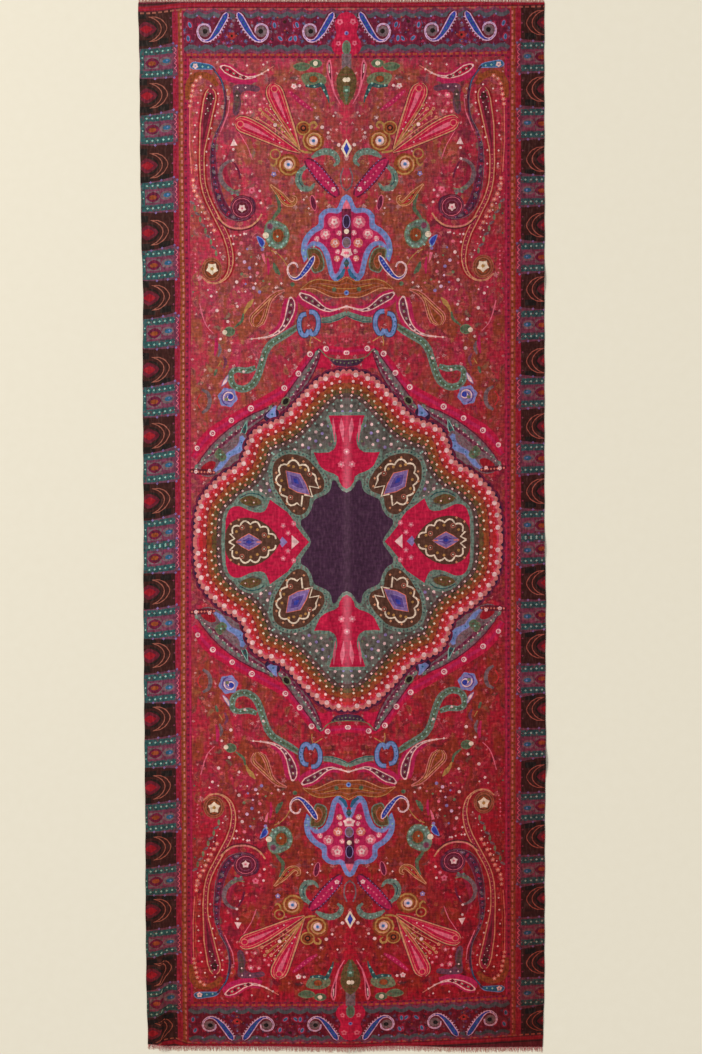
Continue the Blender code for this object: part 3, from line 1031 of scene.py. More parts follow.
patch("rust", oval(313.2, 141, 11, 11.4, 0, 20))
patch("rust", oval(288, 165, 11.4, 11.4, 0, 20))
patch("rust", oval(303, 128.2, 7.4, 7.2, 0, 16), ("gold", 1.3, 0.8))
dots("umber", 3.2, [(303, 128.2)], 10)
dots("amber", 1.6, [(303, 128.2)], 8)
for column, row, start, hand in ((313.2, 140.8, 215, -1), (288, 164.6, 40, 1)):
    stroke("gold", tendril(column, row, 10.8, 1.9, start, hand), 1.7, steps=1)
    stroke("tan", tendril(column, row, 8.8, 1.4, start + 120, hand), 1, steps=1)
    dots("shell", 4.4, [(column, row)], 12)
    dots("sky", 2, [(column, row)], 8)
    dots("petrol", 1, [(column, row)], 6)
stroke("gold", oval(274.8, 154.4, 5, 5, 0, 14), 1.3, closed=True, steps=1)
dots("copper", 1.6, [(274.8, 154.4)])
stroke("gold", [
    (308.6, 128.4, 0.6), (310.4, 123.6, 1.1), (314.6, 122.4, 1.2), (316.4, 126, 0.9), (313.4, 128.6, 0.5),
])
stroke("gold", [(276.4, 158.6, 0.8), (275.6, 163.6, 1.1), (272.6, 166.2, 0.9), (270.2, 163.8, 0.5)])
stroke("gold", [(300, 150.6, 0.9), (305.4, 152.4, 1.1), (311.4, 152.6, 0.9)])
patch("shell", [(233, 138.6), (229.6, 146), (236.6, 145.4)])
dots("shell", 1.5, [(232.6, 149.4), (273.4, 174.2), (259, 191), (255, 196), (260, 203), (300.8, 190.4)])
flower("lavender", 273.2, 174.2, 3, "shell")
flower("rose", 251, 190.4, 3.8, "crimson")
flower("rose", 255.2, 196.6, 2.2, "shell")

# The field beside the palmette: teal scrolls round the magenta leaf, the small gold pine, and the green
# scroll ring with scattered blossoms below it.
stroke("sea", [
    (309.6, 160.6, 1), (304.6, 167.4, 2), (299.6, 172.4, 2.8), (298, 180.6, 3.4), (302, 187.6, 3.4),
    (310, 188.6, 2.2), (314.6, 183.4, 1),
])
stroke("teal", [(300, 174), (298.6, 181), (302.6, 187)], 1.3)
stroke("sea", [
    (311.6, 157.6, 1.2), (318, 153.4, 2.8), (326.4, 151.4, 3.4), (334.6, 154.4, 3), (338, 161.4, 2.2),
    (333.6, 166, 1.2),
])
dots("mint", 1, [(297.6, 172.6), (297.4, 181), (320, 152.6), (326, 151), (332.4, 152.4), (337, 159.4)])
MAGENTA_LEAF = (
    (305.6, 159.6, 0.8), (309.4, 163.2, 3), (315.4, 169.6, 4.2), (322, 177.4, 4.6), (329, 185.4, 4.2),
    (334.4, 192, 3), (337.6, 196.6, 0.8),
)
print_shape("plum", band([(column, row, half * 1.15 + 2) for column, row, half in MAGENTA_LEAF]))
print_shape("magenta", band(scaled(MAGENTA_LEAF, 1.15)))
beads("lavender", 0.7, inset(middle_line(MAGENTA_LEAF[1:6]), 5.4, False), 3.6)
beads("lavender", 0.7, inset(middle_line(MAGENTA_LEAF[1:6]), -5.4, False), 3.6)
beads("rose", 1.1, middle_line(MAGENTA_LEAF[1:5]), 4.4)
flower("shell", 333.4, 189.4, 2.8, "rose")
dots("shell", 1.2, [(328, 182.6), (303.4, 199.6), (308.4, 208.4), (316.6, 201.4)])
stroke("slate", [(343.4, 168), (340.6, 176), (341.6, 186), (MID, 191)], 1.6)
patch("plum", oval(313, 203, 3, 8, -12, 12), ("rose", 0.8, 0.2))
SMALL_PINE = (
    (269.6, 184.8, 0.3), (273.4, 188.6, 1.3), (278, 193, 2.4), (282.4, 198.4, 3.4), (286.4, 202.6, 3.2),
    (291, 204.2, 2.2), (294.6, 202, 1.4), (294.8, 197.8, 1), (291.6, 196.6, 0.5),
)
for dye, more in (("tan", 0.7), ("rust", -0.2), ("gold", -1), ("brick", -1.7)):
    print_shape(dye, band(widened(SMALL_PINE, more, 0.04), steps=2))
dots("umber", 1.1, [(284, 200.4), (279.6, 195.6)])
dots("cream", 0.6, [(284, 200.4)])
stroke("leaf", [
    (275, 194.6, 0.8), (278, 202, 1.6), (278.6, 210, 1.9), (273.6, 216.6, 1.6), (270.8, 222.4, 1),
])
patch("sea", rounded([
    (264.4, 224.6), (270, 219.4), (277.6, 221), (286, 226.4), (289, 235.4), (286.4, 244.4), (279.6, 249.4),
    (271, 247.6), (265.6, 242), (263, 233.6),
]), ("sage", 1.2, 0.6))
patch("rust", oval(277.4, 235.6, 5.8, 6.8, 0, 16), ("leaf", 1.6, -0.6))
patch("mauve", oval(269, 226.4, 3.2, 3.4, 0, 12), ("slate", 0.9, 0.2))
dots("mint", 1.3, [
    (268.6, 245.6), (274.4, 247.8), (280.6, 246.8), (285.6, 241.6), (276.6, 236.6), (287, 233),
    (284.4, 226.8), (276, 222.6), (267.2, 239.6), (271.4, 243), (282.6, 243.4), (262.6, 247.4),
])
dots("cream", 3.2, [(264.8, 235.4)], 10)
patch("royal", rounded([
    (255.6, 236), (261.6, 238.4), (264, 243.6), (260.8, 247.6), (257.4, 243),
]), ("sky", 0.9, 0.4))
dots("lavender", 1.8, [(261.4, 249.4)])
stroke("rose", [(261.6, 253.6, 1.6), (262.6, 258.6, 1.2), (264.4, 264, 0.4)])
stroke("magenta", [(266.4, 258, 0.8), (267.6, 266, 1.4), (267, 275, 0.7)])
stroke("gold", [(270.4, 250.4), (277, 253.6), (282.6, 259.6), (286.4, 266.4)], 0.9)
patch("leaf", rounded([(272.6, 262.4), (276.6, 267), (279.6, 275), (274.4, 273), (271.6, 267.6)]))
for count, (column, row) in enumerate([
    (240, 243), (246, 249), (238, 254), (250, 257), (243, 262), (235, 265), (248, 268), (255, 264),
    (240, 274),
    (249, 277), (256, 273), (244, 284), (235, 282), (262, 281), (252, 288), (268, 284), (258, 292),
    (232, 244),
]):
    dots(("rose", "lavender", "shell", "sage", "blush")[count % 5], (1.8, 1.4)[count % 2], [(column, row)])
dots("shell", 1.4, [(229.6, 236), (243, 233.8), (280.2, 283.4), (274.6, 287.8), (254, 283.6)])

# The central palmette, on the middle line above the medallion: crimson with a wide sky blue edge and pink
# blossoms on its heart.
PALMETTE = corners(
    [
        (MID, 194.6), (341.8, 197.6), (339.2, 203.6), (336.4, 208.4), (330, 208), (322.8, 210.6),
        (318.4, 216.4), (318, 224), (311.4, 228.6), (304.6, 235.6), (301.2, 243.6), (300.6, 253.4),
        (303.4, 262.6),
    ],
    [
        (303.4, 262.6), (306.6, 258.6), (307, 250.4), (310.6, 246.4), (316, 245.8), (321, 249.4),
        (324.6, 256.6), (327, 266), (329.6, 276), (335.6, 281.6), (341.4, 277), (344.4, 268.4),
        (MID, 260.6),
    ],
)
print_shape("sky", np.vstack([PALMETTE, [(MID, 260.6), (MID, 194.6)]]))
PALMETTE_HEART = corners(
    [
        (MID, 201.4), (343.8, 205.8), (341.6, 211.4), (336.6, 213.8), (328.6, 213), (323.8, 218),
        (323.2, 228), (315.6, 232.6), (309.6, 238.8), (306.4, 246),
    ],
    [
        (306.4, 246), (311.4, 241.4), (318.4, 241.4), (324.8, 245.8), (329.6, 254), (332, 264.6),
        (334.6, 273.6), (338.6, 270.6), (341.4, 262), (MID, 252),
    ],
)
print_shape("lavender", np.vstack([inset(PALMETTE_HEART, 1.2, False), [(MID, 252), (MID, 201.4)]]))
print_shape("magenta", np.vstack([PALMETTE_HEART, [(MID, 252), (MID, 201.4)]]))
beads("lavender", 1.3, inset(PALMETTE_HEART, 3.2, False), 5.4)
print_shape("rose", curve([(MID, 199.6), (343.6, 204.4), (342.4, 211), (344, 216.4), (MID, 218)], steps=2))
for dye, column, row, radius in (
    ("rose", 333.8, 222.4, 6.4), ("rose", 325, 234.4, 5.4), ("peach", 334.8, 243.2, 4.8),
    ("rose", 316.6, 238.8, 3),
    ("peach", 336.8, 258.6, 3.2), ("rose", 339, 233, 2.8), ("rose", 337.6, 251.6, 2.6),
):
    dots(dye, radius, [(column, row)], 10)
    flower("shell", column + 0.4, row - 0.6, radius * 0.62, dye)
    dots(
        "shell", 0.8,
        [(column - radius * 0.6, row + radius * 0.3), (column + radius * 0.2, row + radius * 0.7)],
    )
print_shape("plum", box(341.6, MID, 209, 240))
patch("ink", oval(MID, 221.8, 3.2, 6.2, 0, 12), ("lavender", 0.8, -0.4))
patch("slate", oval(MID, 242.8, 3.8, 5, 0, 12), ("lavender", 0.8, -0.4))
dots("cream", 2.6, [(MID, 231.6)], 8)
flower("shell", 345.4, 253.2, 5.4, "rose", 5)
patch("teal", [(MID, 258.6), (343.4, 263.4), (MID, 268.6)])
stroke("petrol", [(344.6, 269, 1), (341.6, 275.6, 2), (336.6, 279, 1.2)])

# Below the palmette: the curled pine with its pearled edge, and olive and rust scrolls with gold lines.
# They meet their mirror images at the middle line.
patch("olive", rounded([
    (306, 251.4), (312, 247.6), (319.4, 250), (323.6, 258.6), (323.8, 268.4), (318, 272.6), (311.6, 271.4),
]), ("sea", 1.3, 0.6))
patch("rust", rounded([
    (311.4, 254), (316.4, 254.4), (319.6, 261), (317.6, 267.6), (313.4, 268.4),
]), ("copper", 0.8, 0.4))
dots("mint", 1.2, [(313.4, 246.4), (304.6, 256.6), (303, 250.4)])
CURLED_PINE = (
    (297.2, 267.8, 0.7), (295.2, 263.6, 0.9), (291, 263, 0.9), (287.2, 266.4, 0.9), (286.8, 271.6, 1),
    (289.4, 276.8, 1.3), (294.6, 279, 1.8), (300, 276.2, 2.4), (304.6, 270.8, 3.1), (308.8, 264.6, 3.5),
    (312.2, 259, 2.8), (313.8, 256, 1),
)
print_shape("shell", band(CURLED_PINE))
print_shape("royal", band(widened(CURLED_PINE, -1)))
beads("sky", 1.1, middle_line(CURLED_PINE[7:11]), 3.4)
print_shape("rust", curve([
    (MID, 277.4), (338.6, 281.6), (330.6, 281.4), (318.6, 279.6), (308.6, 282.4), (299.6, 289.6),
    (312, 288.6), (321, 292.6), (333, 297.4), (MID, 297),
]))
stroke("copper", [(MID, 283), (337, 285.6), (327, 284), (316.6, 283.6), (309, 286)], 0.9)
stroke("copper", [(309, 286), (319, 287.4), (329, 291.4), (338, 293.6), (MID, 293.4)], 1)
stroke("tan", [(299.6, 289.6), (312, 288.6), (321, 292.6), (333, 297.4), (MID, 297)], 0.9)
stroke("gold", [
    (MID, 277.2), (338.6, 281.4), (330.6, 281.2), (318.6, 279.4), (308.6, 282.2), (299.6, 289.4),
], 0.8)
stroke("gold", [(MID, 289), (338, 288.6), (330, 286.8), (321, 284.8)], 0.7)
dots("sky", 2.6, [(MID, 293)], 8)
dots("royal", 1.3, [(MID, 293)], 6)
dots("leaf", 2.4, [(291.6, 284.4), (334, 289.6)], 8)

# Across the field: the paired seed pods, the flaming gold pine, the blue heart ring, and the grey-green
# ribbon that runs out to a blue flower near the border.
for pod in (LEFT_POD, TOP_POD):
    print_shape("magenta", band([(column - 0.8, row + 0.8, half + 3.4) for column, row, half in pod[:7]]))
stroke("sea", [(MID, 313.6, 2.4), (338, 317.4, 3), (329, 320, 3.2), (321, 320.4, 2.6)])
stroke("teal", [(MID, 315.6), (338, 319.4), (329, 322), (321, 322.4)], 0.9)
seed_pod(LEFT_POD, "mauve")
seed_pod(TOP_POD, "mauve")
SCROLL = [
    (300, 324, 2.2), (291.6, 330.4, 3.2), (281, 337, 3.6), (270.6, 343, 3.7), (264.4, 351.6, 3.7),
    (260.6, 362.4, 3.6), (257.4, 373.6, 3.7), (252, 383.6, 3.8), (243.4, 388.8, 3.6), (234.4, 387.6, 3.4),
    (229.4, 380.6, 3.2), (230, 372.4, 3), (236.4, 369.6, 2.8), (245.6, 370.6, 3.2), (254, 367.6, 2.4),
]
stroke("sea", SCROLL)
stroke("leaf", scaled(SCROLL, 0.42))
beads("mint", 1.1, middle_line(SCROLL[2:]), 6.6)
dots("shell", 1.6, [(260.6, 359.6), (242, 371.6)])
FLAME = (
    (253.6, 327, 3.4), (255, 321, 8.4), (259.4, 314.4, 7.4), (264, 306.6, 4.6), (268.4, 299.4, 3),
    (275, 293.6, 2.2), (283.6, 290.2, 0.8),
)
for dye, more in (
    ("coral", 0.2), ("rust", -0.9), ("tan", -2), ("rust", -2.9), ("coral", -4.2), ("rust", -5.1),
):
    print_shape(dye, band(widened(FLAME, more)))
stroke("gold", [(252, 299, 0.6), (248, 304, 2.6), (244.6, 308.4, 1.6), (241.6, 315.4, 0.5)])
stroke("leaf", [(241.6, 313.6, 0.9), (240, 321, 1.4), (232.4, 327.6, 0.8)])
for dye, width in (("plum", 6), ("petrol", 4.8), ("sky", 3.6)):
    stroke(dye, [
        (308.6, 311.8), (313.6, 312.6), (317.4, 318), (317.8, 326.4), (315, 333), (311, 334.2),
        (308.6, 329.6),
    ], width)
    stroke(dye, [
        (305.6, 314), (301, 315.4), (298.4, 321.4), (298.8, 329.4), (301.8, 335), (305.8, 335),
        (308.4, 330),
    ], width)
beads("lavender", 0.7, curve([(311.6, 312.6), (316.2, 316.4), (317.6, 324), (315.4, 331.4)]), 4.2)
beads("petrol", 1, curve([(300.4, 316), (298, 321), (298.8, 329), (302.4, 335)]), 4.6)
stroke("gold", [(310.6, 336.4), (309.4, 342), (309.8, 346.4)], 1)
stroke("gold", [(312.4, 336.6), (317, 339.6), (320.4, 341.6)], 1)
patch("lavender", oval(225.7, 397.4, 10.4, 10.4, 10, 24, 6, 0.16), ("sky", 1, 1.2))
stroke("violet", tendril(226.6, 397.6, 7.8, 1.5, 100, 1), 1.3, steps=1)
stroke("shell", tendril(227.4, 397.2, 6.4, 1.3, 150, 1), 1.2, steps=1)
dots("sage", 1.9, [(224.4, 399.4)], 7)
dots("royal", 2.8, [(228.8, 396.6)], 9)
patch("shell", rounded([
    (219.6, 386.6), (221.6, 380.4), (226.4, 374.6), (225.6, 381.6),
]), ("lavender", 0.7, 0.3))
stroke("slate", [
    (199.6, 389.4, 1.2), (205.6, 393.4, 1.9), (207.6, 401, 2), (205.4, 408.6, 1.9), (199.6, 413, 1.2),
])
stroke("scarlet", [(198, 394), (194.6, 401), (198, 408.6)], 1.1)
for column, row, radius in (
    (222.4, 332.4, 2.4), (227.5, 350.4, 1.8), (225.8, 321.6, 1.7), (218.4, 339, 1.5), (208.7, 296, 1.6),
    (214.8, 310.6, 1.8), (235.4, 306.4, 1.6),
):
    dots("shell", radius, [(column, row)])
patch("leaf", oval(227.4, 331.6, 6, 5.2, 0, 12), ("sage", 0.9, 0.5))
dots("cream", 2.4, [(222.8, 332.4)], 8)
stroke("slate", [(216, 344, 1.2), (218.4, 350, 1.6), (216, 357, 0.8)])
stroke("mauve", [(221, 356, 0.6), (224, 361.4, 1.6), (221.6, 368.4, 0.8)])
stroke("rose", [(197, 303.6), (200, 316), (204.6, 326.6), (211, 333.4)], 1)
stroke("magenta", [(212.6, 356, 0.8), (214.6, 345.6, 1.8), (213.6, 338, 0.8)])
patch("leaf", oval(213.6, 372.4, 1.6, 4, 20, 8))
stroke("gold", [(216, 366.4), (219.4, 360.6)], 0.9)

# Round the medallion: a crimson arc with ringed pearls, and long grey crescent leaves with blue and green
# leaves among them.
ARC = [
    (MID, 352, 4.6), (334, 350.4, 5), (322, 350.6, 5.4), (311, 356.4, 5.6), (302.6, 367, 5.6),
    (293.4, 380, 5.8), (281, 391.6, 6.2), (264.6, 400.6, 6.4), (247.6, 410, 6.6), (230, 420.8, 7),
    (212.6, 431, 6.8), (200.4, 442.6, 6.2), (190.4, 457.6, 3.4),
]
stroke("crimson", scaled(ARC, 0.86))
stroke("magenta", scaled(ARC, 0.26))
patch("crimson", rounded([
    (322.6, 355.6), (317.6, 362), (314.6, 369.6), (322.4, 367.6), (329.6, 370), (330.6, 362.4),
]))
for leaf in (
    [
        (319.6, 349, 1.4), (315.4, 358.4, 3.2), (309.6, 369.6, 4.6), (302, 382, 5.2), (293.6, 393.4, 5.2),
        (285.4, 402.8, 4.6), (277.6, 410.4, 3),
    ],
    [
        (274, 406.6, 1.8), (263.6, 412.8, 4), (250.4, 420.4, 5.4), (235.4, 430.4, 6.2),
        (220.4, 442.6, 6.2), (206.4, 455.6, 4.8), (193, 469.4, 1.2),
    ],
):
    print_shape("plum", band(widened(leaf, 0.7)))
    print_shape("slate", band(widened(leaf, -0.6, 0.1)))
    spine = middle_line(leaf)
    print_shape("mauve", band([(column + 0.8, row + 0.8, half * 0.30) for column, row, half in leaf]))
    for place in evenly(inset(spine, 1.6, False), 9.6):
        print_shape("sea", oval(*place, 3.2, 1.9, -50, 8, 4, 0.2))
    for place in evenly(inset(spine, -1.6, False), 7.4):
        print_shape("plum", oval(*place, 2, 1.2, -40, 6))
    beads("shell", 0.9, spine, 6.2)
stroke("aubergine", [(330.6, 359.4, 1.4), (336.4, 362.6, 3), (MID, 363.6, 3.6)])
beads("sage", 1, curve([(328.6, 357.4), (335.6, 361.6), (MID, 363.6)]), 3.8)
stroke("sage", [(320, 349.6), (326, 356.4), (334.6, 359.4), (MID, 360)], 0.9)
patch("bottle", oval(284.6, 401.4, 4, 5, 40, 12), ("sage", 1.4, 0.6))
patch("teal", rounded([
    (238.4, 434.6), (240.6, 427.6), (245, 421.4), (245.6, 429), (243.6, 434),
]), ("mint", 0.8, 0.4))
patch("ink", oval(270.4, 415.6, 8.4, 6, -30, 14))
patch("sky", rounded([
    (264.6, 415.6), (268.4, 411.4), (272, 407), (275.4, 405.6), (274.6, 411.6), (275, 418), (271, 422.6),
    (268.6, 418.6),
]), ("lavender", 0.8, 0.4))
dots("petrol", 1.3, [(271, 414.4)])
for column, row, radius in (
    (345.6, 353, 2.2), (325.7, 348.8, 2.9), (309.4, 354.2, 3), (297.6, 373.6, 3), (283.2, 388, 3),
    (249.3, 408.4, 3.2), (229.4, 420.4, 2.8), (210, 433.2, 3), (194.6, 448.2, 2.6),
):
    dots("shell", radius, [(column, row)], 10)
    dots("magenta", radius * 0.55, [(column + 0.4, row + 0.2)], 8)
    dots("shell", radius * 0.26, [(column + 0.4, row + 0.2)])
BLUE_LEAF = (
    (239.4, 436, 1.2), (240.8, 441.6, 3), (238.6, 447.6, 3.4), (233, 451.6, 2.6), (227, 454.6, 2.2),
    (223, 459.6, 2.6), (218, 466.4, 2), (211, 472.4, 0.4),
)
print_shape("slate", rounded([
    (193.6, 470.4), (203, 459.6), (213.6, 452.6), (226, 446.4), (232, 438.6), (240.6, 432.6), (246, 440),
    (239, 456.6), (226, 467.6), (206, 477),
]))
patch("deep_red", rounded([(198, 468.6), (206.4, 461.4), (213.4, 462.6), (209, 470.6)]))
print_shape("lavender", band(widened(BLUE_LEAF, 0.7)))
print_shape("sky", band(BLUE_LEAF))
dots("petrol", 1, [(240, 442.6), (227.6, 454.4), (238, 448)])
patch("leaf", rounded([
    (212, 455), (216.6, 448), (221.6, 452), (224.6, 457.6), (219, 461.6),
]), ("sage", 0.8, 0.4))
dots("mint", 1.2, [(218.4, 454.4)])

# The medallion: bands with scalloped edges, printed one inside the other from a dark rim, each with its
# own row of pearls. Each is given its dye, how far inside the rim it starts, and its scallops.
RIM = curve([
    (MID, 371), (336, 372.2), (325, 375.4), (315, 382), (306.6, 390), (299.6, 397.4), (292, 406),
    (284.4, 415), (276, 420.4), (266, 424.4), (255.6, 428.6), (248.6, 436.6), (244.4, 448), (240.6, 460),
    (233, 467.6), (222.6, 473.4), (212, 482.4), (203.6, 491.4), (197.4, 500.6), (193.6, 513), (192.2, 527),
    (191.8, LEVEL),
])
RIM_SCALLOPS = scallops(RIM, 12.4, 2)
print_shape("plum", to_middle(inset(RIM_SCALLOPS, 2.8, False)))
print_shape("ink", to_middle(inset(RIM_SCALLOPS, 0.7, False)))
for dye, inside, bulge, spacing in (
    ("coral", -0.4, 2.4, 6.2),
    ("cerise", -4, 2, 6.2),
    ("scarlet", -5.8, 1.8, 6.2),
    ("brick", -9.4, 1.6, 8.4),
    ("rust", -13, 1.6, 8.6),
    ("olive", -18.6, 1.4, 8.6),
    ("ash", -23, 1.2, 8.2),
    ("ring slate", -27.6, 1.2, 8.2),
):
    print_shape(dye, to_middle(scallops(inset(RIM, inside, False), spacing, bulge)))
dashes("maroon", inset(RIM, -11.8, False), 8.4, 3.4, 1.2)
dashes("bottle", inset(RIM, -22.6, False), 7.8, 3, 1.4)

for dye, radius, inside, spacing in (
    ("shell", 2.5, -3.2, 12.4),
    ("rose", 0.9, -6.4, 6.2),
    ("shell", 1.6, -9.8, 8.4),
    ("amber", 1.7, -13.4, 9.6),
    ("cream", 1.4, -16.8, 8.6),
    ("peach", 1.5, -20.4, 9.4),
    ("shell", 1.35, -24, 7.8),
    ("mint", 1.2, -28.6, 9),
    ("shell", 1.75, -34.4, 9.4),
    ("lavender", 1.75, -40.4, 10),
    ("shell", 1.6, -46.6, 9.6),
    ("sage", 1.3, -52.8, 9.6),
):
    line = inset(RIM, inside, False)
    inner = (line[:, 0] < MID) & (line[:, 1] < LEVEL)
    beads(dye, radius, line[inner], spacing)

stroke("maroon", [(186.6, 470.6, 1.6), (196, 471.6, 3), (206, 472.4, 3.2), (213, 472.8, 1.4)])
beads("peach", 1.2, [(187.6, 471.4), (212.6, 472.6)], 3.2)
flower("shell", 193.2, 471.6, 2.2, "peach")
flower("shell", 207, 470.6, 2, "peach")

# Inside the medallion: two crimson palmettes, which meet their mirror images, the brown cartouches and the
# plain purple middle.
TOP_FLAG = corners(
    [(MID, 415.5), (328.4, 415.5)],
    [
        (328.4, 415.5), (330.8, 423.6), (334.8, 431), (336.6, 439.6), (334.6, 448), (328.6, 452.4),
        (321.4, 453), (313, 452.4),
    ],
    [(313, 452.4), (316, 459.6), (320.4, 467), (327, 471.4), (333.6, 473.6), (338, 476.6)],
    [(338, 476.6), (339.4, 482), (342.4, 486.6), (MID, 489)],
)
SIDE_FLAG = corners(
    [(222.6, LEVEL), (223.4, 519.6)],
    [
        (223.4, 519.6), (226.6, 510.6), (232, 506.4), (239, 506.6), (247, 510.4), (256, 512.6),
        (263.6, 510.6), (268.6, 499.6),
    ],
    [
        (268.6, 499.6), (273.4, 503.4), (279.4, 507.6), (286, 512), (290.6, 517.6), (294.6, 525.6),
        (300.6, 533.6), (308.4, LEVEL),
    ],
)
CARTOUCHE = rounded([
    (268.4, 462), (276.4, 454.6), (287.4, 451.6), (299.6, 453.4), (309.4, 458), (317.4, 465.6),
    (323.6, 473), (328.2, 482.4), (325.6, 491.4), (318, 494.6), (311.4, 498), (310, 507), (305.4, 514.6),
    (297.6, 517.4), (289.6, 514.4), (281.6, 506.4), (275.6, 497), (269.6, 488), (266.6, 475),
])
CARTOUCHE_MIDDLE = (298.8, 484.8)
CARTOUCHE_SHARE = (0.86, 0.93)
CARTOUCHE = (CARTOUCHE - CARTOUCHE_MIDDLE) * CARTOUCHE_SHARE + CARTOUCHE_MIDDLE
PURPLE = corners(
    [
        (MID, 492.6), (342.2, 490.8), (338.6, 486.6), (336.2, 481.6), (333, 480.2), (331.2, 483),
        (330.6, 488.2), (327.4, 493), (321.4, 496.2), (315, 499), (312, 503.6), (310.4, 510.2),
        (305.6, 516.8), (300.6, 519.8), (300, 525.2), (303.6, 530.4), (307.6, 536), (311.6, LEVEL),
    ],
)
stroke("sea", [
    (231.6, 507, 1), (236.4, 498.6, 2.2), (246, 494, 3), (256.6, 494.4, 3.4), (263, 499.4, 3),
    (261.6, 506.6, 2.4), (253, 508.6, 1.2),
])
patch("olive", rounded([
    (238, 499.6), (247.4, 495.6), (256.4, 498.4), (259.4, 503.4), (251, 506), (242.6, 504.6),
]))
stroke("teal", [(238, 497.6), (247, 493.4), (257, 494.4), (263, 499)], 1.2)
dots("shell", 1, [(252, 502.6), (243.4, 500.6), (250.4, 490), (258.6, 489.4), (264.4, 493.4)])
for flag, closing in ((TOP_FLAG, (MID, 489)), (SIDE_FLAG, (308.4, LEVEL))):
    stroke("sea", np.vstack([flag, [closing]]), 7, steps=1)
stroke("sea", CARTOUCHE, 8.4, closed=True, steps=1)
beads("teal", 1, inset(CARTOUCHE, -2), 4.2)
stroke("sea", np.vstack([PURPLE, [(311.6, LEVEL)]]), 6.4, steps=1)
print_shape("aubergine", to_middle(PURPLE))
print_shape("crimson", np.vstack([TOP_FLAG, [(MID, 489)]]))
print_shape("crimson", np.vstack([SIDE_FLAG, [(308.4, LEVEL)]]))
print_shape("brown", CARTOUCHE)
for column, half in ((332.8, 1.4), (341.2, 2.4)):
    stroke("rose", [(column, 418, 0.3), (column + 0.6, 428, half), (column + 2, 442, 0.3)])
flower("rose", 341, 464.4, 3.8, "shell", 6)
flower("rose", MID, 451.6, 3.4, "shell", 6)
for column, row in ((282, 525.6), (292.6, 523.6), (287, 533)):
    flower("rose", column, row, 3, "shell")
patch("shell", [(290.6, 535), (298.4, LEVEL), (290.6, LEVEL)])
patch("lavender", [(281, 536.6), (286.4, LEVEL), (277.6, LEVEL)])


def cartouche(scallop_line, diamond, heart, rings, seeds):
    """A cream scalloped line round a lavender diamond with a violet heart."""
    stroke("cream", scallop_line, 1.7, steps=1)
    for ring in rings:
        dots("copper", 2.7, [ring], 9)
        dots("brown", 1.6, [ring], 7)
        dots("cream", 0.8, [ring])
    dots("gold", 1.6, seeds)
    patch("lilac", diamond, ("peach", 0.9, 0.2))
    inner = np.array(heart) + (np.array(diamond) - heart) * 0.6
    patch("violet", inner, ("lavender", 0.7, 0.2))
    print_shape("royal", np.array(heart) + (np.array(diamond) - heart) * 0.24)


cartouche(
    np.vstack([
        [(301.6, 495.6), (300.4, 506.4)],
        scallops(curve([
            (296, 503), (289.6, 501.4), (284.6, 494.8), (279.8, 486.2), (278.4, 476.6), (281.8, 468.4),
            (289, 463.8), (298, 465.2), (305.8, 470.4), (311.2, 477), (314, 483.6),
        ]), 11.6, -3.8),
        [(318.4, 488), (308.6, 486.2), (311.8, 496.6), (303.6, 494.6)],
    ]),
    [(284.6, 470.6), (299.6, 473.6), (305.6, 484), (309.4, 495), (296.6, 492.6), (287.4, 487.6)],
    (294.8, 480.6),
    [(309, 474), (289.4, 497.4)],
    [(292.6, 466.6), (299.6, 467.6), (280.6, 480.6), (282.6, 489.6), (287.4, 465.4), (304.6, 469.6)],
)
print_shape("brown", curve([
    (222.6, LEVEL), (224, 530), (231, 521), (243, 517.6), (256, 519.6), (267, 526), (275, 534.6),
    (279.6, LEVEL),
]))
cartouche(
    np.vstack([
        [(226.6, LEVEL), (232.4, 538.6), (227.6, 533.6)],
        scallops(curve([
            (230.4, 533.6), (234.4, 528.6), (241, 525), (250, 524.4), (259, 527.4), (266, 532.6),
            (270.6, 537.6), (274, LEVEL),
        ]), 11.6, -3.6),
    ]),
    [(233.6, LEVEL), (239.6, 537.4), (247, 533.4), (254.6, 537.4), (260.6, LEVEL)],
    (247, LEVEL),
    [(240, 527.6), (262.6, 535)],
    [(249, 527), (255.6, 529.6), (267, 536.6), (234.4, 531.6)],
)
dots("tan", 1.4, [
    (275, 472.6), (274.6, 482.4), (279, 493), (285.6, 503.6), (293, 511), (281.6, 460.6), (291.6, 458.2),
    (302.6, 461.6), (312.4, 468), (318.4, 478.6), (319.6, 486.6), (303, 508.6), (228.6, 524),
    (236.6, 519.8),
])

# The cloth is cut along its outline and made as one mesh: every printed outline becomes edges of it, so each
# triangle takes one dye. The face lies on the cloth's own form, over a plainer back and a thin cut edge.
SIDE_STEPS = 190
END_STEPS = 76
GRID_X = 0.0078
GRID_Y = 0.0110
FINE_GRID_X = 0.0046
BACK_GRID = 0.0160
CLEAR_OF_PRINT = 0.0026
MILLIMETRES = 1000.0
JOIN_WITHIN = 0.02
LOOK_INSIDE = (0.0, 0.45, 0.8)
EDGE_MARGIN = 0.003
BACK_MARGIN = 0.006
CELL_ROW = 100003


def cut_outline():
    """The cloth's own outline, from the bottom left round by the right."""
    stations = np.linspace(-1, 1, SIDE_STEPS + 1)
    places = np.linspace(-1, 1, END_STEPS + 1)
    sides = {}
    for side in (-1, 1):
        low, high = (float(hem_y(end, np.array([side * 1.0]))[0]) for end in (-1, 1))
        y = low + (high - low) * (stations + 1) / 2
        sides[side] = np.stack([side * side_reach(side, y), y], axis=1)
    hems = {}
    for end in (-1, 1):
        y = hem_y(end, places)
        reach = np.where(places < 0, side_reach(-1, y), side_reach(1, y))
        hems[end] = np.stack([places * reach, y], axis=1)
    return np.vstack([hems[-1][:-1], sides[1][:-1], hems[1][:0:-1], sides[-1][:0:-1]])


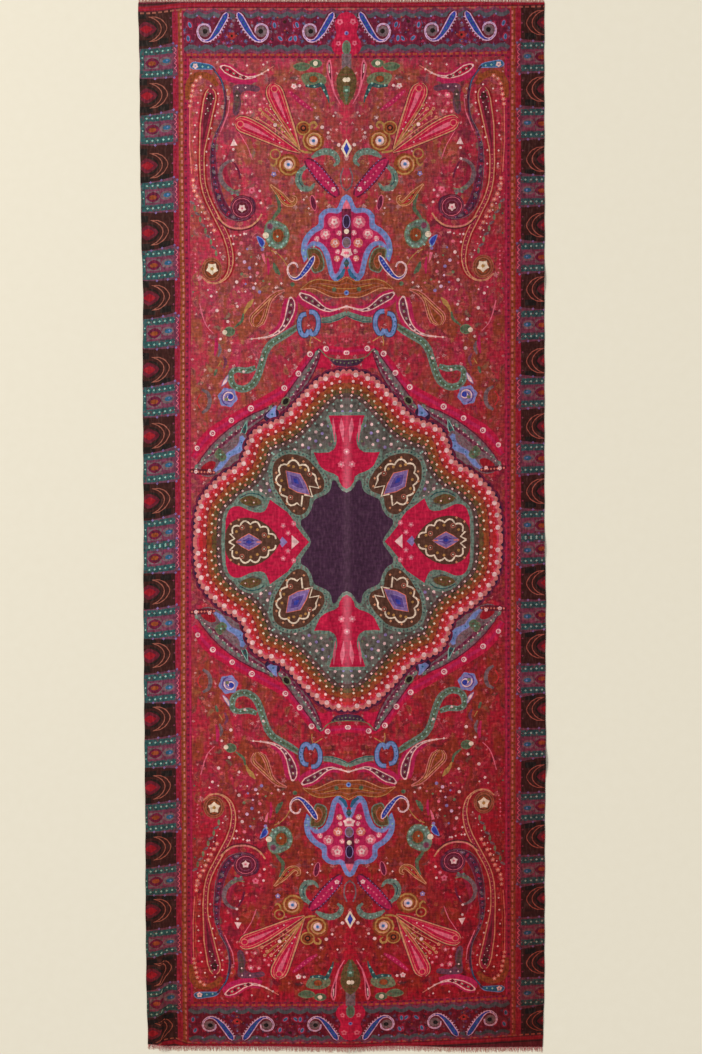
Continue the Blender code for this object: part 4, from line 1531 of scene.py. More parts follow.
def covers(outline, x, y):
    """Which of some places, sorted by y, lie inside a closed outline, whichever way it winds."""
    turns = np.zeros(len(x), int)
    for (x0, y0), (x1, y1) in zip(outline, np.roll(outline, -1, axis=0)):
        low, high = np.searchsorted(y, (min(y0, y1), max(y0, y1)))
        if low < high:
            crossing = x0 + (y[low:high] - y0) * (x1 - x0) / (y1 - y0)
            turns[low:high] += np.where(x[low:high] < crossing, 1 if y1 > y0 else -1, 0)
    return turns != 0


def topmost(places, outlines):
    """The number of the last outline that covers each place, or -1."""
    order = np.argsort(places[:, 1])
    x, y = places[order].T
    found = np.full(len(places), -1)
    for number, outline in enumerate(outlines):
        low, high = np.searchsorted(y, (outline[:, 1].min(), outline[:, 1].max()))
        near = low + np.nonzero(
            (x[low:high] > outline[:, 0].min()) & (x[low:high] < outline[:, 0].max())
        )[0]
        found[near[covers(outline, x[near], y[near])]] = number
    result = np.empty_like(found)
    result[order] = found
    return result


def grid_inside(outline, across, along, margin):
    """Rows of points inside the outline, clear of its edge by a margin."""
    low, high = outline.min(axis=0), outline.max(axis=0)
    rows = np.arange(low[1] + margin, high[1] - margin, along)
    points = []
    for count, y in enumerate(rows):
        x = np.arange(low[0] + across * (count % 2) / 2, high[0], across)
        points.append(np.stack([x, np.full_like(x, y)], axis=1))
    points = np.vstack(points)
    keep = np.zeros(len(points), bool)
    order = np.argsort(points[:, 1], kind="stable")
    keep[order] = covers(outline, *points[order].T)
    spare = np.minimum(
        points[:, 0] + side_reach(-1, points[:, 1]), side_reach(1, points[:, 1]) - points[:, 0]
    )
    hems = (np.abs(hem_y(end, points[:, 0] / HALF_WIDTH) - points[:, 1]) for end in (-1, 1))
    return points[keep & (spare > margin) & (np.minimum(*hems) > margin)]


def in_fine_patch(points):
    """Where the crease and the crinkles need closer points."""
    x, y = points.T
    near = (x > CREASE_FOOT) & (x < CREASE_TOP + CREASE_RISE)
    for crinkle in CRINKLES:
        near |= ((x - crinkle.x) / crinkle.half_x) ** 2 + ((y - crinkle.y) / crinkle.half_y) ** 2 < 0.8
    return near


def clear_of(points, others, distance):
    """The points that have no other within about a distance."""
    def cells(places, shift=(0, 0)):
        at = np.floor(places / distance).astype(int) + shift
        return at[:, 0] * CELL_ROW + at[:, 1]

    taken = np.unique(np.concatenate([cells(others, (i, j)) for i in (-1, 0, 1) for j in (-1, 0, 1)]))
    return points[~np.isin(cells(points), taken)]


def closed_edges(first, count):
    """The edges that close a run of points."""
    numbers = np.arange(first, first + count)
    return np.stack([numbers, np.roll(numbers, -1)], axis=1)


def triangulate(points, edges):
    """Triangles over all the points that keep every edge."""
    given = [Vector(place) for place in points * MILLIMETRES]
    made = delaunay_2d_cdt(given, edges.tolist(), [], 0, JOIN_WITHIN, False)
    corners_found = np.array(made[0], float) / MILLIMETRES
    return corners_found, np.array(made[2])


def sorted_inside(outline, places):
    """Which of some places, in any order, lie inside a closed outline."""
    order = np.argsort(places[:, 1], kind="stable")
    result = np.zeros(len(places), bool)
    result[order] = covers(outline, *places[order].T)
    return result


def showing(outlines, cut):
    """Which printed outlines lie on the cloth and aren't wholly covered by later ones."""
    looked_at = [
        np.vstack(
            [outline, *(outline.mean(axis=0) * (1 - out) + outline[::2] * out for out in LOOK_INSIDE)]
        )
        for outline in outlines
    ]
    places = np.vstack(looked_at)
    counts = np.array([len(found) for found in looked_at])
    owner = np.repeat(np.arange(len(outlines)), counts)
    hidden = (topmost(places, outlines) > owner) | ~sorted_inside(cut, places)
    starts = np.concatenate([[0], np.cumsum(counts)[:-1]])
    return ~np.logical_and.reduceat(hidden, starts)


cut = cut_outline()
outlines = [on_cloth(shape.outline) for shape in printed]
seen = showing(outlines, cut)
outlines = [outline for outline, shown in zip(outlines, seen) if shown]
all_lines = np.vstack(outlines)
grid = grid_inside(cut, GRID_X, GRID_Y, EDGE_MARGIN)
fine = grid_inside(cut, FINE_GRID_X, GRID_Y, EDGE_MARGIN)
grid = np.vstack([grid[~in_fine_patch(grid)], fine[in_fine_patch(fine)]])
grid = clear_of(grid, all_lines, CLEAR_OF_PRINT)
points, edges = [cut], [closed_edges(0, len(cut))]
count = len(cut)
for outline in outlines:
    points.append(outline)
    edges.append(closed_edges(count, len(outline)))
    count += len(outline)
face_points, face_triangles = triangulate(np.vstack([*points, grid]), np.vstack(edges))
centres = face_points[face_triangles].mean(axis=1)
keep = sorted_inside(cut, centres)
face_triangles, centres = face_triangles[keep], centres[keep]
used, face_triangles = np.unique(face_triangles, return_inverse=True)
face_triangles = face_triangles.reshape(-1, 3)
face_points = face_points[used]
top_shape = topmost(centres, outlines)
shape_dyes = np.array([shape.dye for shape in printed])[seen]
triangle_dye = np.where(top_shape >= 0, shape_dyes[top_shape], GROUND)


def rim_loop(triangles):
    """The numbers of the points round the edge, in order."""
    sides = np.vstack([triangles[:, (0, 1)], triangles[:, (1, 2)], triangles[:, (2, 0)]])
    known = {(a, b) for a, b in sides.tolist()}
    ahead = {a: b for a, b in known if (b, a) not in known}
    loop = [next(iter(ahead))]
    while len(loop) < len(ahead):
        loop.append(ahead[loop[-1]])
    return np.array(loop)


rim = rim_loop(face_triangles)
rim_places = face_points[rim]
back_grid = grid_inside(cut, BACK_GRID, BACK_GRID, BACK_MARGIN)
back_points, back_triangles = triangulate(np.vstack([rim_places, back_grid]), closed_edges(0, len(rim)))
keep = sorted_inside(cut, back_points[back_triangles].mean(axis=1))
back_triangles = back_triangles[keep][:, ::-1]

# The ground under the motifs: soft washes of rust, magenta and plum, brushed by hand over the crimson. Each
# is centred at a place of the quarter's chart and fades round it. The back is a paler reverse of the face.
Wash = namedtuple("Wash", "dye column row reach_x reach_y share")
WASHES = (
    Wash("rust", 320, 112, 12, 26, 0.55),
    Wash("rust", 288, 76, 34, 7, 0.7),
    Wash("rust", 202, 78, 14, 10, 0.6),
    Wash("rust", 274, 176, 9, 40, 0.7),
    Wash("rust", 300, 206, 26, 30, 0.75),
    Wash("rust", 335, 168, 12, 26, 0.7),
    Wash("rust", 286, 246, 18, 34, 0.7),
    Wash("plum", 228, 172, 9, 26, 0.7),
    Wash("plum", 248, 262, 16, 30, 0.8),
    Wash("plum", 286, 224, 16, 12, 0.5),
    Wash("plum", 224, 120, 8, 30, 0.6),
    Wash("magenta", 258, 172, 10, 26, 0.9),
    Wash("rust", 247, 150, 14, 12, 0.8),
    Wash("rust", 262, 296, 22, 14, 0.5),
    Wash("magenta", 236, 290, 12, 22, 0.7),
    Wash("rust", 270, 258, 12, 22, 0.6),
    Wash("rust", 308, 92, 9, 9, 0.8),
    Wash("rust", 209, 268, 11, 12, 0.7),
    Wash("rust", 218, 308, 7, 14, 0.6),
    Wash("rust", 250, 306, 12, 20, 0.75),
    Wash("magenta", 308, 66, 14, 10, 0.6),
    Wash("magenta", 308, 102, 14, 12, 0.5),
    Wash("magenta", 214, 300, 18, 22, 0.6),
    Wash("magenta", 262, 300, 14, 12, 0.4),
    Wash("rust", 240, 314, 16, 24, 0.7),
    Wash("rust", 300, 290, 60, 12, 0.7),
    Wash("rust", 216, 366, 20, 34, 0.8),
    Wash("rust", 192, 350, 7, 90, 0.35),
    Wash("rust", 196, 424, 8, 40, 0.5),
    Wash("rust", 262, 394, 16, 16, 0.8),
    Wash("rust", 280, 348, 16, 12, 0.7),
    Wash("rust", 306, 318, 14, 16, 0.6),
    Wash("magenta", 240, 352, 12, 14, 0.6),
    Wash("rust", 338, 326, 14, 10, 0.5),
    Wash("magenta", 190, 480, 6, 60, 0.6),
    Wash("plum", 196, 484, 8, 16, 0.6),
)
WASH_KINDS = ("rust", "magenta", "plum")
BACK_FADE = 0.45
UNDER_STEP = BACK_GRID / 2


def dye_colour(name):
    """A dye in the linear values that shaders mix."""
    return np.array(linear(*DYES[name])[:3])


def ground_washes(chart):
    """How much rust, magenta and plum was brushed into the crimson at places of the chart."""
    column = MID - np.abs(chart[:, 0] - MID)
    row = LEVEL - np.abs(chart[:, 1] - LEVEL)
    shares = np.zeros((len(chart), 3))
    for wash in WASHES:
        away = ((column - wash.column) / wash.reach_x) ** 2 + ((row - wash.row) / wash.reach_y) ** 2
        share = wash.share * np.exp(-away)
        number = WASH_KINDS.index(wash.dye)
        shares[:, number] += (1 - shares[:, number]) * share
    return shares


def dyed(numbers, ground):
    """Colours for dye numbers. A fourth number of 1 means brushed ground, and its three are its washes."""
    dyes = [(*dye_colour(name), SEEDED.get(name, 0.0)) for name in DYE_NAMES]
    colours = np.array([*dyes, (0.0, 0.0, 0.0, 1.0)])[numbers]
    brushed = numbers == GROUND
    colours[brushed, :3] = ground[brushed]
    return colours


face_count, back_count, rim_count = len(face_points), len(back_points), len(rim)
face_chart, back_chart = on_chart(face_points), on_chart(back_points)
face_z = lift(*face_points.T) + FACE_HEIGHT
around = [back_points + np.array(way) * UNDER_STEP for way in ((0, 0), (1, 0), (-1, 0), (0, 1), (0, -1))]
back_z = np.min([lift(*places.T) for places in around], axis=0) + BACK_HEIGHT
flat_places = np.vstack([face_points, back_points])
heights = np.concatenate([face_z, back_z])
rim_next = np.roll(np.arange(rim_count), -1)
back_rim = face_count + np.arange(rim_count)
wall_one = np.stack([rim[rim_next], rim, back_rim], axis=1)
wall_two = np.stack([rim[rim_next], back_rim, back_rim[rim_next]], axis=1)
triangles = np.vstack([face_triangles, back_triangles + face_count, wall_one, wall_two])

cloth_mesh = bpy.data.meshes.new("printed_cloth")
cloth_mesh.from_pydata(np.column_stack([flat_places, heights]).tolist(), [], triangles.tolist())
cloth_mesh.polygons.foreach_set("use_smooth", np.ones(len(triangles), bool))

on_back = topmost(back_points, outlines)
back_numbers = np.where(on_back >= 0, shape_dyes[on_back], GROUND)
back_colours = dyed(back_numbers, np.tile(dye_colour("crimson"), (back_count, 1)))
back_colours[:, :3] = back_colours[:, :3] * (1 - BACK_FADE) + dye_colour("copper") * BACK_FADE
corner_points = triangles.ravel()
face_ground = ground_washes(face_chart)
front = len(face_triangles) * 3
colours = np.empty((len(corner_points), 4))
colours[:front] = dyed(np.repeat(triangle_dye, 3), face_ground[corner_points[:front]])
all_back = np.vstack([np.tile([*dye_colour("maroon"), 0.0], (face_count, 1)), back_colours])
all_back[:, 3] = 0.0
colours[front:] = all_back[corner_points[front:]]
dye_layer = cloth_mesh.color_attributes.new("dye", "FLOAT_COLOR", "CORNER")
dye_layer.data.foreach_set("color", colours.ravel())
chart_layer = cloth_mesh.attributes.new("chart", "FLOAT_VECTOR", "POINT")
chart_places = np.vstack([face_chart, back_chart])
chart_layer.data.foreach_set(
    "vector", np.column_stack([chart_places, np.zeros(len(chart_places))]).ravel()
)

# Its flat pattern: the face fills most of the square, and the cut edge and the back lie in strips beside
# it.
FACE_SHARE = 0.84
EDGE_STRIP = (0.848, 0.862)
BACK_FROM, BACK_SHARE = 0.87, 0.13
low, high = flat_places.min(axis=0), flat_places.max(axis=0)
share = (flat_places - low) / (high - low)
pattern = np.empty((len(corner_points), 2))
pattern[:front] = share[corner_points[:front]] * (FACE_SHARE, 1.0)
back_end = front + len(back_triangles) * 3
pattern[front:back_end] = (BACK_FROM, 0.0) + share[corner_points[front:back_end]] * (BACK_SHARE, 1.0)
run_now = np.arange(rim_count) / rim_count
run_next = run_now + 1 / rim_count
top_edge, low_edge = (np.full(rim_count, place) for place in EDGE_STRIP)
edge_corners = [
    np.stack([top_edge, run_next, top_edge, run_now, low_edge, run_now], axis=1),
    np.stack([top_edge, run_next, low_edge, run_now, low_edge, run_next], axis=1),
]
pattern[back_end:] = np.vstack(edge_corners).reshape(-1, 2)
cloth_mesh.uv_layers.new(name="OFBake").data.foreach_set("uv", pattern.ravel())

# Shading follows the cloth's own slope, so that the print's fine edges don't show in it. The slope is taken
# from the heights a short step to each side.
STEP = 0.0002
x, y = flat_places.T
slope_x = (lift(x + STEP, y) - lift(x - STEP, y)) / (2 * STEP)
slope_y = (lift(x, y + STEP) - lift(x, y - STEP)) / (2 * STEP)
upward = np.column_stack([-slope_x, -slope_y, np.ones(len(slope_x))])
upward /= np.linalg.norm(upward, axis=1)[:, None]
upward[face_count:] *= -1
cloth_mesh.normals_split_custom_set_from_vertices(upward.tolist())
printed_cloth = bpy.data.objects.new("printed_cloth", cloth_mesh)
scene.collection.objects.link(printed_cloth)

# The dyes on the wool. The dyer's brush leaves streaks, each stretched across and along the chart, and the
# ground between the large motifs is filled with small leaves, blooms and seeds set out by chance.
Streak = namedtuple("Streak", "dye across along detail low high strength lost", defaults=(0.0,))
FIRST_STREAKS = (
    Streak("deep_red", 0.05, 0.02, 2.0, 0.42, 0.62, 0.5),
    Streak("magenta", 0.035, 0.055, 2.0, 0.50, 0.58, 0.5),
)
WASH_STREAKS = (
    Streak("rust", 0.11, 0.03, 3.0, 1.44, 1.62, 0.9),
    Streak("magenta", -0.12, 0.035, 3.0, 1.44, 1.62, 0.8),
    Streak("plum", 0.10, -0.08, 3.0, 1.44, 1.62, 0.7),
)
WASH_BREAK = 2.2
LAST_STREAKS = (
    Streak("rust", 0.045, 0.02, 3.0, 0.52, 0.58, 0.5),
    Streak("maroon", 0.26, 0.07, 3.0, 0.54, 0.62, 0.5),
)
FLECKS = (
    Streak("plum", 0.20, 0.44, 3.0, 0.57, 0.63, 0.30),
    Streak("rust", 0.46, 0.22, 3.0, 0.57, 0.63, 0.25),
    Streak("coral", -0.30, 0.24, 3.0, 0.54, 0.62, 0.28, 0.26),
    Streak("copper", 0.55, 0.06, 3.0, 0.53, 0.63, 0.24, 0.20),
    Streak("cerise", 0.05, -0.50, 3.0, 0.53, 0.63, 0.26, 0.14),
)
CLOUDS = (
    Streak("bottle", 0.42, 0.30, 3.0, 0.50, 0.60, 0.40),
    Streak("garnet", -0.36, 0.44, 3.0, 0.54, 0.62, 0.30),
)
FRAY = 5.0
SOFT_DYE = Streak("umber", 0.62, 0.36, 2.0, 0.40, 0.72, 0.12)
LEAF_CELL, LEAF_LONG, LEAF_WIDE, LEAF_BEND = 13.0, 6.6, 2.5, 1.3
LEAF_INSIDES = (
    "crimson", "umber", "garnet", "sage", "plum", "rust", "teal", "scarlet", "slate", "magenta",
)
LEAF_EDGES = ("peach", "copper", "rose", "maroon", "gold", "mauve", "coral", "plum")
BLOOM_CELL, BLOOM_RADIUS = 10.0, 2.7
BLOOM_PETALS = ("rose", "garnet", "peach", "maroon", "shell", "cerise", "plum", "coral", "mauve", "gold")
SEED_CELL, SEED_RADIUS = 5.6, 1.2
SEED_DYES = ("maroon", "rose", "peach", "deep_red", "shell", "maroon", "coral")
BAND_CELL, BAND_RADIUS = 5.8, 2.3
BAND_BLOOMS = ("violet", "crimson", "petrol", "garnet", "brick", "bottle", "mauve", "slate")
RING_CLOUDS = ("bottle", "mauve", "sea", "slate", "umber")

# The cloth's tone and painted light: the lower half and the right side are darker and redder, the right side
# also has painted shade, the upper left a painted sheen, and the middle crease a painted highlight. The
# plain weave shows as uneven yarns both ways.
GRAIN_SIZE = (420.0, 300.0, 1.0)
WARP_SIZE = (280.0, 80.0, 1.0)
WEFT_SIZE = (80.0, 260.0, 1.0)
THIN_YARN, THICK_YARN = (190, 188, 190), (278, 278, 278)
LOWER_RED = (236, 118, 130)
# Painted shade: the right side darker, away from the light.
RIGHT_SHADE = (220, 204, 208)
RIGHT_BORDER_SHADE = (250, 222, 222)
LOW_EDGE_SHADE = (234, 210, 196)
LOW_BAND_SHADE = (240, 226, 214)
# Painted highlight: a pale stripe down the middle crease.
CREASE_HIGHLIGHT_AT, CREASE_HIGHLIGHT_HALF, CREASE_HIGHLIGHT_FULL, CREASE_HIGHLIGHT_WANDER = 0.0085, 0.0100, 0.002, 0.004
CREASE_HIGHLIGHT_TINT, CREASE_HIGHLIGHT_PALE, CREASE_HIGHLIGHT_PALE_SHARE = (270, 310, 300), (244, 190, 200), 0.14
# Painted sheen: the pale colour of a veil of light over the yarns.
PAINTED_SHEEN = (240, 204, 194)
WEAVE_STRENGTH, WEAVE_DEPTH = 0.45, 0.0005


def wool_print(tree):
    """Dyed wool: the printed dyes, the brushed ground with its small motifs, painted shade, sheen and crease
    highlight, and the weave's relief.
    """
    dye = tree.node("ShaderNodeAttribute", {"attribute_name": "dye"})
    kind = dye.output("Alpha")
    place = tree.node("ShaderNodeAttribute", {"attribute_name": "chart"}, out="Vector")
    mirrored = tree.vector_maths("ABSOLUTE", tree.vector_maths("SUBTRACT", place, (*CHART_MIDDLE, 0.0)))
    cloth = tree.node("ShaderNodeTexCoord", out="Object")
    on_scarf = tree.node("ShaderNodeSeparateXYZ", {}, (cloth,))
    washes = tree.node("ShaderNodeSeparateColor", {}, (dye,))

    def field(across, along, detail=2.0, where=mirrored):
        """Soft noise with so many waves to a square of the chart, across and along it."""
        return tree.noise(tree.stretched(where, (across, along, 1.0)), 1.0, detail)

    def tint(share, under, name):
        """A share of a named dye over a colour."""
        return tree.blend(share, under, linear(*DYES[name]))

    def streaked(streak, under, where=mirrored, only=1.0):
        """Dye brushed on in streaks, weaker towards the low end where the streak says so."""
        strength = streak.strength - low * streak.lost if streak.lost else streak.strength
        brushed = field(streak.across, streak.along, streak.detail, where).over(streak.low, streak.high)
        return tint(brushed * strength * only, under, streak.dye)

    across_by, along_by = (field(0.25, 0.9) - 0.5) * FRAY, (field(0.9, 0.25) - 0.5) * FRAY
    fray = tree.node("ShaderNodeCombineXYZ", {}, (across_by, along_by, 0.0))
    frayed = tree.vector_maths("ADD", mirrored, fray)

    def cells(size):
        """Cells of the chart: each place's way from its own cell's middle, and three chances for each."""
        near = tree.node(
            "ShaderNodeTexVoronoi", {"voronoi_dimensions": "2D"}, {"Vector": frayed, "Scale": 1 / size},
        )
        away = tree.vector_maths("SUBTRACT", frayed, near.output("Position"))
        way = tree.node("ShaderNodeSeparateXYZ", {}, (away,))
        chances = tree.node("ShaderNodeSeparateColor", {}, (near.output("Color"),))
        reach = tree.vector_maths("LENGTH", away, out="Value")
        return way, way.output("Y"), reach, [chances.output(name) for name in ("Red", "Green", "Blue")]

    def leaf_form(size, long, wide, bend):
        """How far out of a bent leaf each place is: under 1 inside one."""
        x, y, _, chances = cells(size)
        turn = chances[0] * 2 * math.pi
        sine, cosine = turn.maths("SINE"), turn.maths("COSINE")
        along = (x * cosine + y * sine) / long
        across = (y * cosine - x * sine) / wide + along * along * bend - bend * 0.4
        return along * along + across.maths("ABSOLUTE"), chances

    def bloom_form(size, radius):
        """How far out of a five-petalled bloom, and out of its round, each place is: under 1 inside."""
        x, y, reach, chances = cells(size)
        petals = (y.maths("ARCTAN2", x) * 5.0 + chances[0] * 6.0).maths("COSINE")
        return reach / (petals * 0.24 + 0.76) / radius, reach / radius, chances

    def chosen(chance, names):
        """One of some dyes, by chance."""
        stops = [(count / len(names), linear(*DYES[name])) for count, name in enumerate(names)]
        return tree.node("ShaderNodeValToRGB", {"stops": stops}, {"Fac": chance})

    def some(chance, share):
        """Only a share of the cells, by a chance that has another use too."""
        return (chance * 9.0).maths("FRACT").maths("LESS_THAN", share)

    across, up = on_scarf, on_scarf.output("Y")
    side, low = across.over(-0.35, 0.35), up.over(0.9, -0.9)
    base = kind.maths("GREATER_THAN", 0.8)
    band = kind.maths("GREATER_THAN", 0.5) - base
    ring = kind.maths("GREATER_THAN", 0.2) - kind.maths("GREATER_THAN", 0.5)
    clouded = kind.maths("GREATER_THAN", 0.1) - kind.maths("GREATER_THAN", 0.2)

    ground = linear(*DYES["crimson"])
    for streak in FIRST_STREAKS:
        ground = streaked(streak, ground, frayed)
    for streak, share in zip(WASH_STREAKS, ("Red", "Green", "Blue")):
        broken = field(streak.across, streak.along, streak.detail, frayed) * WASH_BREAK
        brushed = (washes.output(share) + broken).over(streak.low, streak.high)
        ground = tint(brushed * streak.strength, ground, streak.dye)
    for streak in LAST_STREAKS:
        ground = streaked(streak, ground, frayed)

    busy = field(0.032, 0.024, 1.0).over(0.40, 0.58)
    form, chances = leaf_form(LEAF_CELL, LEAF_LONG, LEAF_WIDE, LEAF_BEND)
    there = some(chances[1], 0.7) * (busy * 0.5 + 0.4)
    ground = tint(there * form.within(1.0, 1.6) * 0.5, ground, "maroon")
    ground = tree.blend(there * form.within(0.90, 1.15) * 0.7, ground, chosen(chances[2], LEAF_EDGES))
    ground = tree.blend(there * form.within(0.46, 0.66) * 0.8, ground, chosen(chances[1], LEAF_INSIDES))
    form, reach, chances = bloom_form(BLOOM_CELL, BLOOM_RADIUS)
    there = some(chances[2], 0.6) * (busy * 0.5 + 0.5)
    ground = tint(there * form.within(1.0, 1.5) * 0.4, ground, "maroon")
    ground = tree.blend(there * form.within(0.85, 1.05) * 0.75, ground, chosen(chances[1], BLOOM_PETALS))
    ground = tint(there * reach.within(0.22, 0.36) * 0.7, ground, "garnet")
    form, reach, chances = bloom_form(SEED_CELL, SEED_RADIUS)
    there = some(chances[2], 0.5) * reach.within(0.7, 1.15)
    ground = tree.blend(there * 0.7, ground, chosen(chances[1], SEED_DYES))
    for fleck in FLECKS:
        ground = streaked(fleck, ground)
    colour = tree.blend(base, dye, ground)

    form, reach, chances = bloom_form(BAND_CELL, BAND_RADIUS)
    colour = tree.blend(band * form.within(0.8, 1.1) * 0.7, colour, chosen(chances[1], BAND_BLOOMS))
    colour = tint(band * reach.within(0.22, 0.4) * 0.5, colour, "lavender")
    colour = tree.blend(ring * form.within(0.8, 1.3) * 0.5, colour, chosen(chances[2], RING_CLOUDS))
    for cloud in CLOUDS:
        colour = streaked(cloud, colour, only=clouded)
    colour = streaked(SOFT_DYE, colour)

    grain = tree.noise(tree.stretched(cloth, GRAIN_SIZE), 1.0, 1.0)
    colour = tint(grain.over(0.5, 0.8) * 0.12, colour, "umber")
    warp = tree.noise(tree.stretched(cloth, WARP_SIZE), 1.0, 3.0)
    weft = tree.noise(tree.stretched(cloth, WEFT_SIZE), 1.0, 3.0)
    yarns = warp * 0.5 + weft * 0.5

    def shaded(share, under, shade):
        """A colour darkened by a share of a shade, or lightened by one over 255."""
        return tree.blend(share, under, linear(*shade), "MULTIPLY")

    weave = tree.blend(yarns.over(0.34, 0.66), linear(*THIN_YARN), linear(*THICK_YARN))
    colour = tree.blend(1.0, colour, weave, "MULTIPLY")
    redder = (low * 0.95 + side * 0.35 - 0.22).clamped() * (base * 0.78 + band * 0.6 + 0.22)
    colour = shaded(redder, colour, LOWER_RED)
    # Painted shade: darker towards the right side, away from the light.
    colour = shaded(side * (base * 0.4 + 0.6), colour, RIGHT_SHADE)
    # Painted highlight: a pale stripe down the middle crease, from a little above the middle into the lower
    # half.
    from_crease_highlight = (across + (warp + weft - 1.0) * CREASE_HIGHLIGHT_WANDER - CREASE_HIGHLIGHT_AT).maths("ABSOLUTE")
    crease_highlight = from_crease_highlight.over(CREASE_HIGHLIGHT_HALF, CREASE_HIGHLIGHT_FULL) * low.over(0.36, 0.46) * low.over(0.82, 0.62)
    crease_highlight_on_dye = crease_highlight * washes.over(0.05, 0.14)
    colour = shaded(crease_highlight_on_dye, colour, CREASE_HIGHLIGHT_TINT)
    colour = tree.blend(crease_highlight_on_dye * low.over(0.68, 0.60) * CREASE_HIGHLIGHT_PALE_SHARE, colour, linear(*CREASE_HIGHLIGHT_PALE))
    # Painted shade: darker still over the right border, farthest from the light.
    colour = shaded(across.over(0.27, 0.30), colour, RIGHT_BORDER_SHADE)
    colour = shaded(
        across.maths("ABSOLUTE").over(0.20, 0.28) * low.over(0.66, 0.86), colour, LOW_EDGE_SHADE
    )
    colour = shaded(low.over(0.94, 0.97), colour, LOW_BAND_SHADE)
    # Painted sheen: a pale veil strongest towards the upper left, where the light comes from, and on the
    # warp yarns.
    sheen_share = (1.1 - side) * (1.0 - low) * (
        base * 0.040 + 0.006
    ) + warp.over(0.5, 0.75) * (0.034 - low * 0.018)
    colour = tree.blend(sheen_share, colour, linear(*PAINTED_SHEEN))
    return {"Base Color": colour, "Normal": tree.relief(WEAVE_STRENGTH, WEAVE_DEPTH, yarns)}


cloth_mesh.materials.append(new_material("printed wool", wool_print, 0.86, Specular_IOR_Level=0.15))
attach(printed_cloth, "root")
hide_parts("scarf_cloth")

# The fringe: the warp ends left unwoven past each hem as loose, slightly wavy yarns about 10 mm long. They
# are pale undyed wool, with the red of the print run a little way into their roots.
FRINGE_LENGTH = 0.010
YARNS = 1150
YARN_RADIUS = 0.00021
YARN_POINTS = 5
YARN_SIDES = 3
YARN_ROOT = -0.15
YARN_LEAN = 0.34
SHORTEST_YARN = 0.5
WAVES = 420.0
WAVE_SEED = 7.3
WAVE_MIDDLE = (0.5, 0.5, 0.42)
WAVE_SIZE = (0.0036, 0.0012, 0.0014)
HEM_POINTS = 160
HEM_INSET = 0.998
PALE_WOOL = ((168, 100, 84), (212, 166, 144))
RED_WOOL = ((150, 40, 60), (196, 84, 92))
Fringe = namedtuple("Fringe", "name end seed replaced")
FRINGES = (Fringe("top_fringe", 1, 3, "fringe_top"), Fringe("bottom_fringe", -1, 8, "fringe_bottom"))


def fringe_tree():
    """Yarns stood along a hem line: each a short wavy tube, leaning and lying a little differently."""
    group = bpy.data.node_groups.new("eyelash_fringe", "GeometryNodeTree")
    for name, kind, value in (
        ("Geometry", "NodeSocketGeometry", None),
        ("Yarns", "NodeSocketInt", 100),
        ("Yarn length", "NodeSocketFloat", 0.01),
        ("Yarn radius", "NodeSocketFloat", 0.0002),
        ("Way out", "NodeSocketFloat", 1.0),
        ("Seed", "NodeSocketInt", 0),
        ("Material", "NodeSocketMaterial", None),
    ):
        socket = group.interface.new_socket(name, in_out="INPUT", socket_type=kind)
        if value is not None:
            socket.default_value = value
    group.interface.new_socket("Geometry", in_out="OUTPUT", socket_type="NodeSocketGeometry")
    tree = Tree(group)
    given = tree.node("NodeGroupInput").output

    def chance(low, high, number):
        """A number by chance for each yarn: inputs 2, 3 and 8 are the least, the most and the seed."""
        values = {2: low, 3: high, 8: given("Seed") + number}
        return tree.node("FunctionNodeRandomValue", {"data_type": "FLOAT"}, values, out=1)

    def resampled(line, count):
        """A line with so many even points."""
        return tree.node("GeometryNodeResampleCurve", {"mode": "COUNT"}, {"Curve": line, "Count": count})

    places = resampled(given("Geometry"), given("Yarns"))
    yarn = tree.node(
        "GeometryNodeCurvePrimitiveLine", {}, {"Start": (0, YARN_ROOT, 0), "End": (0, 1.0, 0)},
    )
    length = given("Yarn length")
    long = length * given("Way out") * chance(SHORTEST_YARN, 1.0, 3)
    size = tree.node("ShaderNodeCombineXYZ", {}, (length, long, length))
    turn = tree.node("ShaderNodeCombineXYZ", {}, (0.0, 0.0, chance(-YARN_LEAN, YARN_LEAN, 5)))
    stood = {"Points": places, "Instance": resampled(yarn, YARN_POINTS), "Rotation": turn, "Scale": size}
    loose = tree.node("GeometryNodeInstanceOnPoints", {}, stood)
    loose = tree.node("GeometryNodeRealizeInstances", {}, {"Geometry": loose})
    position = tree.node("GeometryNodeInputPosition")
    waves = {"Vector": position, "W": given("Seed") * WAVE_SEED, "Scale": WAVES, "Detail": 1.0}
    wave = tree.node("ShaderNodeTexNoise", {"noise_dimensions": "4D"}, waves, out=1)
    wave = tree.vector_maths("MULTIPLY", tree.vector_maths("SUBTRACT", wave, WAVE_MIDDLE), WAVE_SIZE)
    along = tree.node("GeometryNodeSplineParameter")
    wave = tree.node("ShaderNodeVectorMath", {"operation": "SCALE"}, {0: wave, "Scale": along})
    loose = tree.node("GeometryNodeSetPosition", {}, {"Geometry": loose, "Offset": wave})
    kept = {"Geometry": loose, "Name": "along", "Value": along}
    loose = tree.node("GeometryNodeStoreNamedAttribute", {"data_type": "FLOAT", "domain": "POINT"}, kept)
    round_yarn = {"Resolution": YARN_SIDES, "Radius": given("Yarn radius")}
    round_yarn = tree.node("GeometryNodeCurvePrimitiveCircle", {}, round_yarn)
    tubes = {"Curve": loose, "Profile Curve": round_yarn, "Fill Caps": True}
    tubes = tree.node("GeometryNodeCurveToMesh", {}, tubes)
    tubes = tree.node("GeometryNodeRealizeInstances", {}, {"Geometry": tubes})
    tubes = tree.node("GeometryNodeSetMaterial", {}, {"Geometry": tubes, "Material": given("Material")})
    tree.node("NodeGroupOutput", {}, (tubes,))
    return group


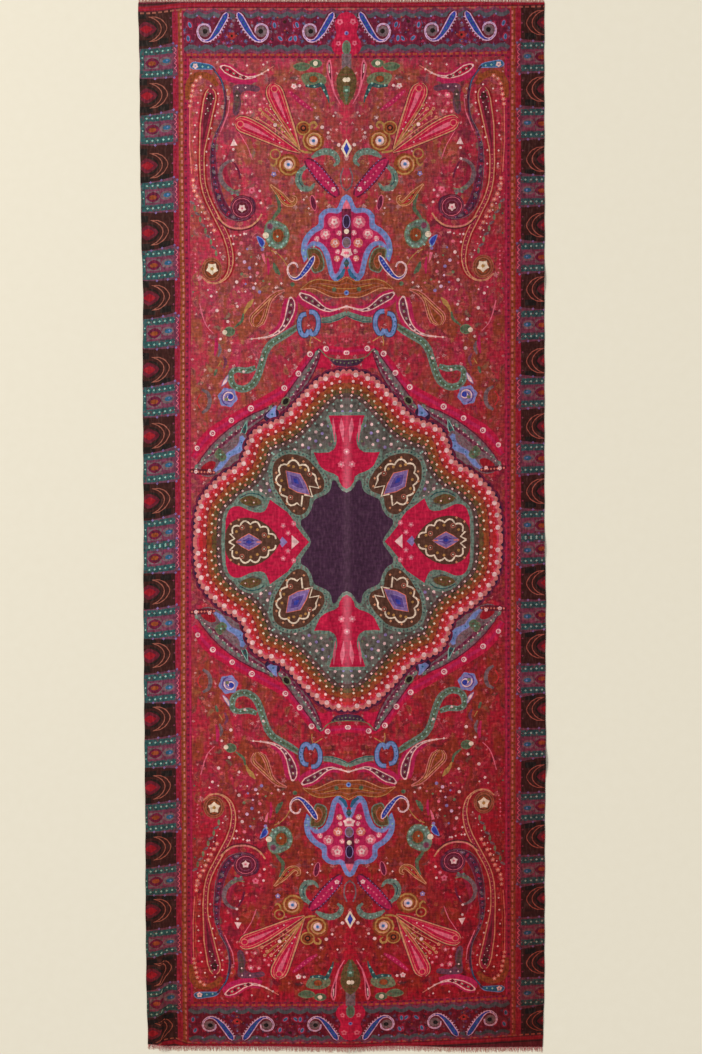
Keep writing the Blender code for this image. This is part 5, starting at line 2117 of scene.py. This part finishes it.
def yarn_wool(tree):
    """Pale wool yarn of uneven twist, with the print's red at its root and more of it at the low end."""
    along = tree.node("ShaderNodeAttribute", {"attribute_name": "along"}, out="Fac")
    cloth = tree.node("ShaderNodeTexCoord", out="Object")
    uneven = tree.noise(tree.stretched(cloth, (900.0, 160.0, 300.0)), 1.0, 2.0)
    patches = tree.noise(tree.stretched(cloth, (24.0, 3.0, 1.0)), 1.0, 2.0)
    wool, red = (tree.blend(uneven, linear(*low), linear(*high)) for low, high in (PALE_WOOL, RED_WOOL))
    lower = tree.node("ShaderNodeSeparateXYZ", {}, (cloth,)).output("Y").maths("LESS_THAN", 0.0)
    share = ((patches * 1.5 - along * 1.6) + 0.5 + lower * 0.4).clamped()
    return {"Base Color": tree.blend(share, wool, red), "Normal": tree.relief(0.4, 0.0002, uneven)}


fringe_yarn = new_material("fringe yarn", yarn_wool, 0.9, Specular_IOR_Level=0.2, Sheen_Weight=0.1)
fringe_nodes = fringe_tree()
for made in FRINGES:
    places = np.linspace(-1, 1, HEM_POINTS)
    y = hem_y(made.end, places)
    x = np.where(places < 0, side_reach(-1, y), side_reach(1, y)) * places * HEM_INSET
    z = lift(x, y) + (FACE_HEIGHT + BACK_HEIGHT) / 2
    hem = bpy.data.curves.new(made.name + "_hem", "CURVE")
    hem.dimensions = "3D"
    line = hem.splines.new("POLY")
    line.points.add(HEM_POINTS - 1)
    line.points.foreach_set("co", np.column_stack([x, y, z, np.ones(HEM_POINTS)]).ravel())
    grown = bpy.data.objects.new(made.name + "_hem", hem)
    scene.collection.objects.link(grown)
    growing = grown.modifiers.new("fringe", "NODES")
    growing.node_group = fringe_nodes
    sizes = {
        "Yarns": YARNS,
        "Yarn length": FRINGE_LENGTH,
        "Yarn radius": YARN_RADIUS,
        "Way out": float(made.end),
        "Seed": made.seed,
        "Material": fringe_yarn,
    }
    for item in fringe_nodes.interface.items_tree:
        if item.in_out == "INPUT" and item.name in sizes:
            growing[item.identifier] = sizes[item.name]
    ready = bpy.context.evaluated_depsgraph_get()
    yarns = bpy.data.meshes.new_from_object(grown.evaluated_get(ready), depsgraph=ready)
    yarns.name = made.name
    bpy.data.objects.remove(grown)
    fringe = bpy.data.objects.new(made.name, yarns)
    scene.collection.objects.link(fringe)
    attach(fringe, "root")
    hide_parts(made.replaced)
